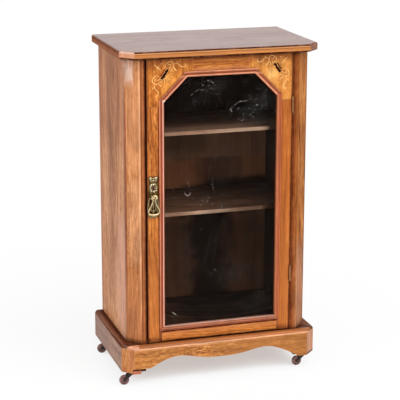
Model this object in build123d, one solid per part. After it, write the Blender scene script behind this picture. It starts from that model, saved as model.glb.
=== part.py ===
from build123d import *
import math
import os

# A glazed music cabinet in walnut, in millimetres. X is to the right of someone facing it, the front faces -Y
# and +Z is up. The origin is on the floor, under the middle of the top board's plan.

# Overall
cabinet_height = 940.0
overrun = 2.0  # how far a cutting tool runs past what it cuts
pick_reach = 0.01  # how near an edge lies to the plane it is picked by

# Top board
top_side_overhang = 19.0
top_front_overhang = 23.0
top_thickness = 22.0
top_cant = 33.0
top_upper_round = 7.0
top_lower_round = 4.0

# Carcass
carcass_width = 524.0
carcass_depth = 322.0
carcass_cant = 36.0
side_thickness = 18.0
post_side_return = 10.0
post_front_return = 14.0
back_thickness = 8.0
back_rebate = 8.0
back_board_count = 3
floor_thickness = 19.0
stop_gap = 0.3  # between the closed door and what it shuts against
top_rail_height = 30.0
top_rail_thickness = 20.0
back_rail_height = 40.0
back_rail_thickness = 18.0

# Shelves
shelf_thickness = 10.0
shelf_setback = 52.0  # carcass front to shelf front
shelf_end_gap = 0.3
lower_shelf_height = 346.5  # from the underside of the carcass to the underside of the shelf
upper_shelf_height = 574.5
bearer_width = 12.0
bearer_height = 14.0
bearer_front_setback = 9.0
bearer_back_setback = 12.0

# Plinth
caster_height = 41.0  # floor to the underside of the plinth
plinth_step = 23.0  # how far the plinth stands out from the carcass
plinth_cant = 30.0
plinth_thickness = 14.0
plinth_height = 68.0
arch_half_width = 230.0
arch_crown_half_width = 135.0
arch_crown_height = 40.0
arch_middle_height = 25.5
arch_shoulder_half_width = 186.0
arch_shoulder_height = 24.0
arch_waist_half_width = 66.0
arch_waist_height = 30.5
chip_start = 26.0  # from the left side of the plinth to the broken foot
chip_height = 12.5
chip_depth = 14.5
corner_block_size = 52.0
toe_start = 25.0  # the front left corner block's toe, seen where the foot has broken away
toe_length = 24.0
toe_drop = 2.0
toe_height = 9.5
toe_setback = 2.0

# Moulding round the top of the plinth
base_moulding_height = 9.0
base_moulding_width = 48.0
base_moulding_quirk = 1.2
base_moulding_lip = 1.5

# Door
door_thickness = 20.0
lock_gap = 2.5
hinge_gap = 1.0
door_foot_gap = 2.0
door_head_gap = 1.5
hanging_bead_width = 5.0
hanging_bead_nose = 2.4
stile_show = 34.0  # from the door's left edge to the glazing moulding
sight_top = 40.0  # from the carcass top down to the moulding
sight_bottom = 33.0  # from the carcass underside up to the moulding
sight_corner = 74.0  # leg of the cut corners
moulding_cover = 6.5  # how far the moulding laps on to the frame
moulding_width = 14.5
tenon_thickness = 7.0
tenon_length = 22.0
tenon_shoulder = 8.0

# Glazing moulding section, measured from the frame's face
moulding_edge_height = 1.6
moulding_bead_width = 3.6
moulding_bead_height = 3.0
moulding_hollow_width = 4.4
moulding_hollow_height = 1.2
moulding_nose_height = 4.2
moulding_sight_height = 1.0
glass_recess = 6.0  # frame face to glass face
glass_thickness = 3.0
glass_edge_gap = 0.5
bead_width = 7.0
bead_depth = 8.0

# Corner panels of figured veneer
panel_half_gap = 79.0  # from the middle of the door to the panel's inner edge
panel_drop = 133.0  # from the carcass top to the panel's lower edge
panel_thickness = 1.5

# Lock
keyhole_height = 447.0  # above the carcass underside
lock_side_gap = 5.5  # from the lock to the stile's inner edge
lock_height = 50.0
lock_depth = 11.0
lock_below_key = 23.0
bolt_length = 28.0
bolt_height = 14.0
bolt_thickness = 5.0
bolt_above_key = 15.0
bolt_gap = 0.15
bolt_travel = 8.0
bolt_setback = 0.4
keyhole_radius = 2.0
strike_height = 40.0
strike_width = 13.0
strike_thickness = 1.2
strike_slot_gap = 1.0

# Handle
plate_thickness = 2.0
plate_above_key = 32.0
plate_below_key = 84.0
plate_boss_radius = 11.4
plate_boss_height = 3.4
plate_waist_half_width = 6.5
plate_side_gap = 3.0  # from the horns to the stile's edges
plate_horn_flare = 1.0  # how far the horns stand out past the shoulders
plate_horn_drop = 6.0
plate_neck_drop = 19.0
pivot_below_key = 24.0
pivot_forward = 9.0
pivot_pin_radius = 1.3
pivot_gap = 0.05
pivot_lug_radius = 5.0
pivot_lug_thickness = 3.0
drop_eye_radius = 6.0
drop_eye_length = 10.0
drop_eye_end_gap = 0.3
drop_length = 54.0
drop_half_width = 17.5
drop_neck_half_width = 3.0
drop_corner_round = 10.0
drop_bar = 4.6
drop_thickness = 4.4
drop_edge_round = 1.6

# Hinges
hinge_length = 44.0
hinge_top_inset = 124.0  # carcass top to the upper end of the upper hinge
hinge_bottom_inset = 146.0  # carcass underside to the lower end of the lower hinge
hinge_leaf_width = 15.0
hinge_leaf_thickness = 1.2
hinge_leaf_split = 0.4  # between the two leaves of a closed hinge
hinge_knuckle_radius = 2.5
hinge_knuckle_count = 5
hinge_knuckle_gap = 0.2
hinge_knuckle_clearance = 0.3
hinge_pin_radius = 1.2
hinge_pin_gap = 0.05
hinge_pin_tip = 1.6
hinge_pin_tip_radius = 1.9
hinge_screw_inset = 7.0

# Casters
caster_side_inset = 28.0
caster_front_inset = 35.0
caster_back_inset = 47.0
caster_trail = 20.0
wheel_radius = 14.0
wheel_width = 9.0
wheel_edge_round = 3.0
wheel_hub_radius = 5.5
wheel_dish = 1.2
axle_radius = 2.0
axle_gap = 0.06
fork_gap = 0.5
fork_cheek = 2.0
fork_boss_radius = 4.2
fork_crown_length = 13.0
fork_crown_height = 6.0
fork_crown_back = 7.0
collar_radius = 8.0
collar_height = 1.6
collar_gap = 0.3
stem_radius = 3.4
stem_gap = 0.05
stem_length = 26.0
socket_radius = 5.5
socket_length = 28.0
caster_plate_radius = 14.0
caster_plate_thickness = 2.0
caster_screw_circle = 10.4

# Fastenings
screw_head_radius = 3.4
screw_shank_radius = 1.7
screw_slot_width = 0.7
screw_slot_depth = 0.6
top_screw_length = 42.0
bearer_screw_length = 24.0
small_screw_head_radius = 1.9
small_screw_shank_radius = 0.9
small_screw_length = 9.0
hinge_screw_length = 10.0
nail_head_radius = 2.2
nail_head_thickness = 0.8
nail_shank_radius = 1.0
nail_length = 22.0

# Shares of the sizes that they follow
top_screw_shares = (-0.8, 0.0, 0.8)
bearer_screw_shares = (0.15, 0.85)
nail_height_shares = (0.01, 0.18, 0.38, 0.58, 0.78, 0.975)
board_nail_share = 0.25
screw_angles = (0.0, 120.0, 240.0)  # the first one points to the middle of the cabinet
leaf_screw_shares = (0.15, 0.5, 0.85)

# Levels and faces
top_width = carcass_width + 2 * top_side_overhang
top_depth = carcass_depth + top_front_overhang
plinth_width = carcass_width + 2 * plinth_step
plinth_depth = carcass_depth + plinth_step
back_y = top_depth / 2
top_front_y = back_y - top_depth
carcass_front_y = back_y - carcass_depth
plinth_front_y = back_y - plinth_depth
foot_z = caster_height
moulding_z = foot_z + plinth_height
base_z = moulding_z + base_moulding_height
carcass_top_z = cabinet_height - top_thickness
half_carcass = carcass_width / 2
half_plinth = plinth_width / 2
side_inner_x = half_carcass - side_thickness
opening_x = half_carcass - carcass_cant - post_front_return
post_back_y = carcass_front_y + carcass_cant + post_side_return
back_face_y = back_y - back_thickness
door_back_y = carcass_front_y + door_thickness
stop_y = door_back_y + stop_gap
door_left_x = -opening_x + lock_gap
bead_x = opening_x - hanging_bead_width
door_right_x = bead_x - hinge_gap
door_bottom_z = base_z + door_foot_gap
door_top_z = carcass_top_z - door_head_gap
key_z = base_z + keyhole_height
sight_half_width = -door_left_x - stile_show
handle_x = (door_left_x - sight_half_width) / 2
lock_width = stile_show + moulding_cover - lock_side_gap
plate_horn_half_width = stile_show / 2 - plate_side_gap
plate_shoulder_half_width = plate_horn_half_width - plate_horn_flare
pivot_y = carcass_front_y - pivot_forward
pivot_z = key_z - pivot_below_key
hinge_x = bead_x - hinge_gap / 2
hinge_y = carcass_front_y - hinge_knuckle_radius - hinge_knuckle_clearance
hinge_bottoms = {
    "upper": carcass_top_z - hinge_top_inset - hinge_length,
    "lower": base_z + hinge_bottom_inset,
}
fork_inner = wheel_width / 2 + fork_gap
caster_places = {
    "front_left": (-half_plinth + caster_side_inset, plinth_front_y + caster_front_inset),
    "front_right": (half_plinth - caster_side_inset, plinth_front_y + caster_front_inset),
    "back_left": (-half_plinth + caster_side_inset, back_y - caster_back_inset),
    "back_right": (half_plinth - caster_side_inset, back_y - caster_back_inset),
}

parts = {}
front = Vector(0, -1, 0)
up = Vector(0, 0, 1)


def block(x0, x1, y0, y1, z0, z1):
    return Pos(x0, y0, z0) * Box(x1 - x0, y1 - y0, z1 - z0, align=(Align.MIN,) * 3)


def plan_prism(points, z0, z1):
    """A plan outline raised from z0 to z1."""
    face = make_face(Polyline(*[(x, y, z0) for x, y in points], close=True))
    return extrude(face, amount=z1 - z0, dir=up)


def front_prism(points, y0, y1):
    """An outline of x and z, seen from the front, carried back from y0 to y1."""
    face = make_face(Polyline(*[(x, y1, z) for x, z in points], close=True))
    return extrude(face, amount=y1 - y0, dir=front)


def rod(centre, axis, radius, length):
    """A round bar that starts at a point and runs along an axis."""
    return Plane(origin=centre, z_dir=axis) * Cylinder(
        radius, length, align=(Align.CENTER, Align.CENTER, Align.MIN)
    )


def inset_leg(leg, inset):
    """The leg of a corner cut at 45 degrees, once its outline is drawn in."""
    return leg - inset * (2 - math.sqrt(2))


def canted_plan(width, front_y, cant, inset):
    """The plan from the back left corner, round the front, to the back right corner."""
    x, y, leg = width / 2 - inset, front_y + inset, inset_leg(cant, inset)
    return [(-x, back_y), (-x, y + leg), (-x + leg, y), (x - leg, y), (x, y + leg), (x, back_y)]


def sight_outline(inset):
    """The glazed opening seen from the front, from the lower left corner anticlockwise."""
    x, leg = sight_half_width - inset, inset_leg(sight_corner, inset)
    low, high = base_z + sight_bottom + inset, carcass_top_z - sight_top - inset
    return [(-x, low), (x, low), (x, high - leg), (x - leg, high), (-x + leg, high), (-x, high - leg)]


def mitred_run(outer, inner, section, normal):
    """A section carried along one side of an outline and cut at both mitres.
    outer and inner are that side's two ends on the outer and the inner outline."""
    a, b = Vector(*outer[0]), Vector(*outer[1])
    along = (b - a).normalized()
    plane = Plane(origin=a - along * base_moulding_width, x_dir=normal.cross(along), z_dir=along)
    bar = extrude(plane * section, amount=(b - a).length + 2 * base_moulding_width, dir=along)
    wedge = make_face(Polyline(outer[0], outer[1], inner[1], inner[0], close=True))
    return bar & extrude(wedge, amount=door_thickness + plinth_height, dir=normal, both=True)


def plan_runs(names, outer, inner, section, z):
    """Mitred lengths round a plan outline at one height."""
    for i, name in enumerate(names):
        ends = [[(*line[k], z) for k in (i, i + 1)] for line in (outer, inner)]
        yield name, mitred_run(*ends, section, up)


def door_runs(names, outer, inner, section, y):
    """Mitred lengths round the glazed opening."""
    for i, name in enumerate(names):
        picks = (i, (i + 1) % len(outer))
        ends = [[(line[k][0], y, line[k][1]) for k in picks] for line in (outer, inner)]
        yield name, mitred_run(*ends, section, front)


def screw(point, into, head_radius, shank_radius, length):
    """A countersunk screw without its slot, its head flush at a point."""
    head_height = head_radius - shank_radius
    head = Cone(shank_radius, head_radius, head_height, align=(Align.CENTER, Align.CENTER, Align.MAX))
    shank = Cylinder(shank_radius, length, align=(Align.CENTER, Align.CENTER, Align.MAX))
    return Plane(origin=point, z_dir=-into) * (head + shank)


def slotted(point, into, head_radius, shank_radius, length):
    slot = Box(2 * head_radius, screw_slot_width, 2 * screw_slot_depth)
    plain = screw(point, into, head_radius, shank_radius, length)
    return plain - Plane(origin=point, z_dir=-into) * slot


def fasten(group, nodes, places, head_radius, shank_radius, length):
    """Adds screws to a group and takes their holes out of the pieces they pass through."""
    for point, into in places:
        hole = screw(point, into, head_radius, shank_radius, length)
        for node in nodes:
            if len(nodes) == 1 or (parts[node] & hole):
                parts[node] = parts[node] - hole
        parts.setdefault(group, []).append(slotted(point, into, head_radius, shank_radius, length))


def make_top():
    board = plan_prism(canted_plan(top_width, top_front_y, top_cant, 0), carcass_top_z, cabinet_height)
    shown = board.edges().filter_by(lambda e: e.center().Y < back_y - pick_reach)
    upper = shown.filter_by(lambda e: e.center().Z > cabinet_height - pick_reach)
    board = fillet(upper, top_upper_round)
    shown = board.edges().filter_by(lambda e: e.center().Y < back_y - pick_reach)
    lower = shown.filter_by(lambda e: e.center().Z < carcass_top_z + pick_reach)
    parts["top_board"] = fillet(lower, top_lower_round)


def make_carcass():
    for name, hand in (("left", -1), ("right", 1)):
        outer, inner = hand * half_carcass, hand * side_inner_x
        side = block(*sorted((outer, inner)), post_back_y, back_y, base_z, carcass_top_z)
        rebate = block(
            *sorted((inner - hand * overrun, inner + hand * back_rebate)),
            back_face_y, back_y + overrun, base_z - overrun, carcass_top_z + overrun,
        )
        parts[f"{name}_side"] = side - rebate
        post = [
            (outer, post_back_y),
            (outer, carcass_front_y + carcass_cant),
            (outer - hand * carcass_cant, carcass_front_y),
            (hand * opening_x, carcass_front_y),
            (hand * opening_x, post_back_y),
        ]
        parts[f"{name}_corner_post"] = plan_prism(post, base_z, carcass_top_z)
    tongue = [
        (-side_inner_x, back_face_y),
        (-side_inner_x, post_back_y),
        (-opening_x, post_back_y),
        (-opening_x, stop_y),
        (opening_x, stop_y),
        (opening_x, post_back_y),
        (side_inner_x, post_back_y),
        (side_inner_x, back_face_y),
    ]
    parts["bottom_board"] = plan_prism(tongue, base_z, base_z + floor_thickness)
    parts["top_front_rail"] = block(
        -opening_x, opening_x, stop_y, stop_y + top_rail_thickness,
        carcass_top_z - top_rail_height, carcass_top_z,
    )
    parts["top_back_rail"] = block(
        -side_inner_x, side_inner_x, back_face_y - back_rail_thickness, back_face_y,
        carcass_top_z - back_rail_height, carcass_top_z,
    )
    reach = side_inner_x + back_rebate
    step = 2 * reach / back_board_count
    parts["back_boards"] = [
        block(-reach + i * step, -reach + (i + 1) * step, back_face_y, back_y, base_z, carcass_top_z)
        for i in range(back_board_count)
    ]
    bead = block(
        bead_x, opening_x, carcass_front_y, door_back_y, door_bottom_z, door_top_z
    )
    nose = bead.edges().filter_by(Axis.Z).sort_by(Axis.Y)[:2]
    parts["hanging_bead"] = fillet(nose, hanging_bead_nose)


def make_shelves():
    shelf_front = carcass_front_y + shelf_setback
    parts["shelf_bearers"] = []
    for name, height in (("lower", lower_shelf_height), ("upper", upper_shelf_height)):
        z = base_z + height
        end = side_inner_x - shelf_end_gap
        parts[f"{name}_shelf"] = block(
            -end, end, shelf_front, back_face_y - shelf_end_gap, z, z + shelf_thickness
        )
        for hand in (-1, 1):
            parts["shelf_bearers"].append(block(
                *sorted((hand * side_inner_x, hand * (side_inner_x - bearer_width))),
                shelf_front + bearer_front_setback, back_face_y - bearer_back_setback,
                z - bearer_height, z,
            ))


def arch_cutter():
    """The space under the front apron: two arches that dip between them."""
    line = [
        (-arch_half_width, 0),
        (-arch_shoulder_half_width, arch_shoulder_height),
        (-arch_crown_half_width, arch_crown_height),
        (-arch_waist_half_width, arch_waist_height),
        (0, arch_middle_height),
    ]
    line += [(-x, z) for x, z in reversed(line[:-1])]
    y = plinth_front_y + plinth_thickness + overrun
    curve = Spline(*[(x, y, foot_z + z) for x, z in line])
    low = foot_z - overrun
    sill = Polyline(curve @ 1, (arch_half_width, y, low), (-arch_half_width, y, low), curve @ 0)
    return extrude(make_face([curve, sill]), amount=plinth_thickness + 2 * overrun, dir=front)


def make_plinth():
    outer = canted_plan(plinth_width, plinth_front_y, plinth_cant, 0)
    inner = canted_plan(plinth_width, plinth_front_y, plinth_cant, plinth_thickness)
    board = make_face(Polyline(
        (0, 0), (plinth_thickness, 0), (plinth_thickness, plinth_height), (0, plinth_height), close=True
    ))
    names = ["plinth_left", "plinth_cant_left", "plinth_front", "plinth_cant_right", "plinth_right"]
    parts.update(plan_runs(names, outer, inner, board, foot_z))
    parts["plinth_front"] -= arch_cutter()
    chip = block(
        -half_plinth + chip_start, -arch_shoulder_half_width,
        plinth_front_y - overrun, plinth_front_y + chip_depth, foot_z - overrun, foot_z + chip_height,
    )
    for name in ("plinth_front", "plinth_cant_left"):
        parts[name] -= chip
    inner_x = half_plinth - plinth_thickness
    between_x = half_plinth - base_moulding_width
    parts["plinth_back"] = block(
        -inner_x, inner_x, back_y - plinth_thickness, back_y, foot_z, moulding_z
    ) + block(-between_x, between_x, back_y - plinth_thickness, back_y, moulding_z, base_z)
    tail = canted_plan(plinth_width, plinth_front_y, plinth_cant, base_moulding_width)
    nose = base_moulding_height - base_moulding_lip
    lip = (base_moulding_quirk, base_moulding_lip)
    crest = (base_moulding_quirk + nose, base_moulding_height)
    bulge = (crest[0] - nose * math.sqrt(0.5), base_moulding_lip + nose * math.sqrt(0.5))
    section = make_face([
        Polyline((0, 0), (0, base_moulding_lip), lip),
        ThreePointArc(lip, bulge, crest),
        Polyline(crest, (base_moulding_width, base_moulding_height), (base_moulding_width, 0), (0, 0)),
    ])
    names = ["left", "cant_left", "front", "cant_right", "right"]
    for name, run in plan_runs(names, outer, tail, section, moulding_z):
        if name.startswith("cant"):
            parts.setdefault("base_moulding_cants", []).append(run)
        else:
            parts[f"base_moulding_{name}"] = run


def make_corner_blocks():
    room = plan_prism(
        canted_plan(plinth_width, plinth_front_y, plinth_cant, plinth_thickness), foot_z, moulding_z
    )
    inner_x = half_plinth - plinth_thickness
    blocks = []
    for name, (stem_x, _) in caster_places.items():
        hand = math.copysign(1, stem_x)
        xs = sorted((hand * inner_x, hand * (inner_x - corner_block_size)))
        if name.startswith("front"):
            ys = (plinth_front_y + plinth_thickness, plinth_front_y + plinth_thickness + corner_block_size)
        else:
            ys = (back_y - plinth_thickness - corner_block_size, back_y - plinth_thickness)
        piece = block(*xs, *ys, foot_z, moulding_z) & room
        if name == "front_left":
            toe_x = -half_plinth + toe_start
            toe = block(
                toe_x, toe_x + toe_length,
                plinth_front_y + toe_setback, plinth_front_y + plinth_thickness + overrun,
                foot_z - toe_drop, foot_z + toe_height - toe_drop,
            )
            lap = chip_start - toe_start
            piece = piece + (toe - block(
                toe_x - overrun, toe_x + lap, plinth_front_y, plinth_front_y + plinth_thickness,
                foot_z, foot_z + toe_height,
            ))
            parts["plinth_cant_left"] -= toe
        blocks.append(piece)
    parts["corner_blocks"] = blocks


def frame_opening():
    return front_prism(
        sight_outline(moulding_cover), carcass_front_y - overrun, door_back_y + overrun
    )


def make_door_frame():
    inner = sight_half_width - moulding_cover
    low, high = base_z + sight_bottom + moulding_cover, carcass_top_z - sight_top - moulding_cover
    ys = (carcass_front_y, door_back_y)
    middle_y = (carcass_front_y + door_back_y) / 2
    parts["lock_stile"] = block(door_left_x, -inner, *ys, door_bottom_z, door_top_z)
    parts["hinge_stile"] = block(inner, door_right_x, *ys, door_bottom_z, door_top_z)
    for name, z0, z1 in (
        ("door_top_rail", high, door_top_z),
        ("door_bottom_rail", door_bottom_z, low),
    ):
        tenon = block(
            -inner - tenon_length, inner + tenon_length,
            middle_y - tenon_thickness / 2, middle_y + tenon_thickness / 2,
            z0 + tenon_shoulder, z1 - tenon_shoulder,
        )
        parts[name] = block(-inner, inner, *ys, z0, z1) + tenon
        for stile in ("lock_stile", "hinge_stile"):
            parts[stile] -= tenon
    leg = inset_leg(sight_corner, moulding_cover)
    parts["corner_fillets"] = [
        front_prism([(x, high), (x - math.copysign(leg, x), high), (x, high - leg)], *ys)
        for x in (-inner, inner)
    ]
    hole = frame_opening()
    for name, edge in (("left", door_left_x), ("right", door_right_x)):
        hand = math.copysign(1, edge)
        sheet = block(
            *sorted((edge, hand * panel_half_gap)), carcass_front_y, carcass_front_y + panel_thickness,
            carcass_top_z - panel_drop, door_top_z,
        ) - hole
        parts[f"{name}_spandrel"] = sheet
        for node in ("lock_stile", "hinge_stile", "door_top_rail"):
            parts[node] -= sheet
        parts["corner_fillets"] = [piece - sheet for piece in parts["corner_fillets"]]


def moulding_section():
    """From the outer edge inwards: a bead, a hollow and a bold nose that falls to the glass."""
    hollow_start = moulding_bead_width
    hollow_end = hollow_start + moulding_hollow_width
    nose_middle = (hollow_end + moulding_width) / 2
    lift = moulding_hollow_height
    return make_face([
        Polyline((0, 0), (0, moulding_edge_height)),
        ThreePointArc(
            (0, moulding_edge_height), (moulding_bead_width / 2, moulding_bead_height), (hollow_start, lift)
        ),
        Line((hollow_start, lift), (hollow_end, lift)),
        ThreePointArc(
            (hollow_end, lift), (nose_middle, moulding_nose_height), (moulding_width, moulding_sight_height)
        ),
        Polyline(
            (moulding_width, moulding_sight_height), (moulding_width, -glass_recess),
            (moulding_cover, -glass_recess), (moulding_cover, 0), (0, 0),
        ),
    ])


def make_glazing():
    names = ["bottom", "right", "cant_right", "top", "cant_left", "left"]
    outer, inner = sight_outline(0), sight_outline(moulding_width)
    for name, run in door_runs(names, outer, inner, moulding_section(), carcass_front_y):
        parts[f"glazing_moulding_{name}"] = run
    glass_y = carcass_front_y + glass_recess
    pane = sight_outline(moulding_cover + glass_edge_gap)
    parts["glass_pane"] = front_prism(pane, glass_y, glass_y + glass_thickness)
    strip = make_face(Polyline(
        (0, 0), (bead_width, 0), (bead_width, bead_depth), (0, bead_depth), close=True
    ))
    outer, inner = sight_outline(moulding_cover), sight_outline(moulding_cover + bead_width)
    beads = door_runs(names, outer, inner, strip, glass_y + glass_thickness + bead_depth)
    parts["glazing_beads"] = [run for _, run in beads]


def make_lock():
    x0, x1 = door_left_x, door_left_x + lock_width
    z0 = key_z - lock_below_key
    case = block(x0, x1, door_back_y - lock_depth, door_back_y, z0, z0 + lock_height)
    parts["lock_stile"] -= case
    bolt_y = door_back_y - lock_depth / 2
    bolt_z = key_z + bolt_above_key
    bolt_x = x0 + bolt_setback
    bolt = block(
        bolt_x, bolt_x + bolt_length, bolt_y - bolt_thickness / 2, bolt_y + bolt_thickness / 2,
        bolt_z - bolt_height / 2, bolt_z + bolt_height / 2,
    )
    channel = block(
        x0 - overrun, bolt_x + bolt_length + bolt_gap,
        bolt_y - bolt_thickness / 2 - bolt_gap, bolt_y + bolt_thickness / 2 + bolt_gap,
        bolt_z - bolt_height / 2 - bolt_gap, bolt_z + bolt_height / 2 + bolt_gap,
    )
    keyway = rod((handle_x, carcass_front_y - overrun, key_z), -front, keyhole_radius,
                 overrun + door_thickness - lock_depth / 2)
    parts["lock_case"] = case - channel - keyway
    parts["lock_stile"] -= keyway
    parts["lock_bolt"] = bolt
    reach = strike_height / 2
    plate = block(
        -opening_x - strike_thickness, -opening_x,
        bolt_y - strike_width / 2, bolt_y + strike_width / 2, bolt_z - reach, bolt_z + reach,
    )
    pocket = block(
        -opening_x - bolt_travel - strike_slot_gap, -opening_x + overrun,
        bolt_y - bolt_thickness / 2 - strike_slot_gap, bolt_y + bolt_thickness / 2 + strike_slot_gap,
        bolt_z - bolt_height / 2 - strike_slot_gap, bolt_z + bolt_height / 2 + strike_slot_gap,
    )
    parts["left_corner_post"] = parts["left_corner_post"] - plate - pocket
    parts["strike_plate"] = plate - pocket
    places = [
        (Vector(-opening_x, bolt_y, bolt_z + hand * (reach + bolt_height / 2 + strike_slot_gap) / 2),
         Vector(-1, 0, 0))
        for hand in (-1, 1)
    ]
    fasten("frame_brass_screws", ["strike_plate", "left_corner_post"], places,
           small_screw_head_radius, small_screw_shank_radius, small_screw_length)


def handle_plate_outline():
    """Half of the plate, from its foot to its head, as x away from the middle and z above the keyhole."""
    return [
        (0, -plate_below_key),
        (plate_waist_half_width, -plate_below_key + plate_neck_drop / 2),
        (plate_shoulder_half_width, -pivot_below_key - drop_length * 0.62),
        (plate_waist_half_width * 1.25, -pivot_below_key - pivot_lug_radius),
        (plate_shoulder_half_width * 0.8, -pivot_below_key + pivot_lug_radius),
        (plate_waist_half_width, 0),
        (plate_waist_half_width, plate_above_key - plate_neck_drop),
        (plate_horn_half_width * 0.7, plate_above_key - 2 * plate_horn_drop),
        (plate_horn_half_width, plate_above_key - plate_horn_drop / 2),
        (plate_horn_half_width / 2, plate_above_key),
        (0, plate_above_key - plate_horn_drop / 2),
    ]


def make_handle():
    half = handle_plate_outline()
    points = [(handle_x + x, key_z + z) for x, z in half]
    points += [(handle_x - x, key_z + z) for x, z in reversed(half[1:-1])]
    face_y = carcass_front_y
    plate = front_prism(points, face_y - plate_thickness, face_y)
    boss = Plane(origin=(handle_x, face_y, key_z), z_dir=front) * Cone(
        plate_boss_radius, plate_boss_radius * 0.75, plate_boss_height,
        align=(Align.CENTER, Align.CENTER, Align.MIN),
    )
    keyway = rod((handle_x, face_y + overrun, key_z), front, keyhole_radius, overrun * 2 + plate_boss_height)
    plate = plate + boss - keyway
    eye_half = drop_eye_length / 2
    lug_start = eye_half + drop_eye_end_gap
    for hand in (-1, 1):
        xs = sorted((handle_x + hand * lug_start, handle_x + hand * (lug_start + pivot_lug_thickness)))
        ear = block(*xs, pivot_y, face_y, pivot_z - pivot_lug_radius, pivot_z + pivot_lug_radius)
        ear += rod((xs[0], pivot_y, pivot_z), (1, 0, 0), pivot_lug_radius, pivot_lug_thickness)
        plate += ear
    pin_start = handle_x - lug_start - pivot_lug_thickness / 2
    plate += rod((pin_start, pivot_y, pivot_z), (1, 0, 0), pivot_pin_radius, -2 * (pin_start - handle_x))
    parts["handle_plate"] = plate
    eye = rod((handle_x - eye_half, pivot_y, pivot_z), (1, 0, 0), drop_eye_radius, drop_eye_length)
    low = pivot_z - drop_length
    pear = make_face(Polyline(
        (handle_x - drop_neck_half_width, pivot_y, pivot_z),
        (handle_x + drop_neck_half_width, pivot_y, pivot_z),
        (handle_x + drop_half_width, pivot_y, low + drop_corner_round),
        (handle_x + drop_half_width - drop_corner_round, pivot_y, low),
        (handle_x - drop_half_width + drop_corner_round, pivot_y, low),
        (handle_x - drop_half_width, pivot_y, low + drop_corner_round),
        close=True,
    ))
    corners = pear.vertices().filter_by(lambda v: v.Z < pivot_z - pick_reach)
    pear = fillet(corners, drop_corner_round / 2)
    ring = pear - offset(pear, amount=-drop_bar)
    ring = extrude(ring, amount=drop_thickness / 2, both=True, dir=front)
    rims = ring.edges().filter_by(lambda e: abs(e.center().Y - pivot_y) > drop_thickness / 2 - pick_reach)
    ring = fillet(rims.filter_by(lambda e: e.center().Z < pivot_z - drop_eye_radius), drop_edge_round)
    bore = rod(
        (handle_x - drop_eye_length, pivot_y, pivot_z), (1, 0, 0), pivot_pin_radius + pivot_gap,
        2 * drop_eye_length,
    )
    parts["handle_drop"] = eye + ring - bore


def hinge_knuckles(z, first):
    """Every second knuckle of a hinge whose lower end is at z, as pairs of heights."""
    step = hinge_length / hinge_knuckle_count
    for i in range(first, hinge_knuckle_count, 2):
        yield (
            z + i * step + (hinge_knuckle_gap / 2 if i else 0),
            z + (i + 1) * step - (hinge_knuckle_gap / 2 if i + 1 < hinge_knuckle_count else 0),
        )


def hinge_leaf(z, hand, first, bore_radius):
    """A leaf on one side of the pin, with its knuckles. hand is 1 on the frame and -1 on the door."""
    near = hinge_x + hand * hinge_leaf_split / 2
    xs = sorted((near, near + hand * hinge_leaf_thickness))
    leaf = block(*xs, carcass_front_y, carcass_front_y + hinge_leaf_width, z, z + hinge_length)
    for z0, z1 in hinge_knuckles(z, first):
        leaf += block(*xs, hinge_y, carcass_front_y, z0, z1)
        leaf += rod((hinge_x, hinge_y, z0), up, hinge_knuckle_radius, z1 - z0)
    return leaf - rod((hinge_x, hinge_y, z - overrun), up, bore_radius, hinge_length + 2 * overrun)


def make_hinges():
    parts["frame_hinge_leaves"] = []
    parts["door_hinge_leaves"] = []
    parts["hinge_pins"] = []
    screw_y = carcass_front_y + hinge_leaf_width - hinge_screw_inset
    frame_face = hinge_x + hinge_leaf_split / 2
    door_face = hinge_x - hinge_leaf_split / 2
    for z in hinge_bottoms.values():
        frame_leaf = hinge_leaf(z, 1, 0, hinge_pin_radius)
        door_leaf = hinge_leaf(z, -1, 1, hinge_pin_radius + hinge_pin_gap)
        seat = block(
            door_face - hinge_leaf_thickness, frame_face + hinge_leaf_thickness,
            carcass_front_y - overrun, carcass_front_y + hinge_leaf_width, z, z + hinge_length,
        )
        for node in ("hanging_bead", "hinge_stile", "right_spandrel"):
            parts[node] -= seat
        pin = rod((hinge_x, hinge_y, z), up, hinge_pin_radius, hinge_length)
        for tip_z, way in ((z, -1), (z + hinge_length, 1)):
            pin += rod((hinge_x, hinge_y, tip_z), (0, 0, way), hinge_pin_tip_radius, hinge_pin_tip)
        parts["hinge_pins"].append(pin)
        size = (small_screw_head_radius, small_screw_shank_radius, hinge_screw_length)
        for share in leaf_screw_shares:
            at = z + hinge_length * share
            places = {
                "frame": (Vector(frame_face, screw_y, at), Vector(1, 0, 0)),
                "door": (Vector(door_face, screw_y, at), Vector(-1, 0, 0)),
            }
            for side, (point, into) in places.items():
                hole = screw(point, into, *size)
                if side == "frame":
                    frame_leaf -= hole
                    parts["hanging_bead"] -= hole
                    parts["right_corner_post"] -= hole
                else:
                    door_leaf -= hole
                    parts["hinge_stile"] -= hole
                parts.setdefault(f"{side}_brass_screws", []).append(slotted(point, into, *size))
        parts["frame_hinge_leaves"].append(frame_leaf)
        parts["door_hinge_leaves"].append(door_leaf)


def caster_wheel(x, y):
    """A turned wheel: a rounded tread, a shallow dish and a hub."""
    half = wheel_width / 2
    tread = Cylinder(wheel_radius, wheel_width)
    tread = fillet(tread.edges(), wheel_edge_round)
    dish_radius = wheel_radius - wheel_edge_round
    for hand in (-1, 1):
        ring = Cylinder(dish_radius, 2 * wheel_dish) - Cylinder(wheel_hub_radius, 2 * wheel_dish)
        tread -= Pos(0, 0, hand * half) * ring
    tread -= Cylinder(axle_radius + axle_gap, wheel_width + overrun)
    return Plane(origin=(x - caster_trail, y, wheel_radius), z_dir=front) * tread


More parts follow.
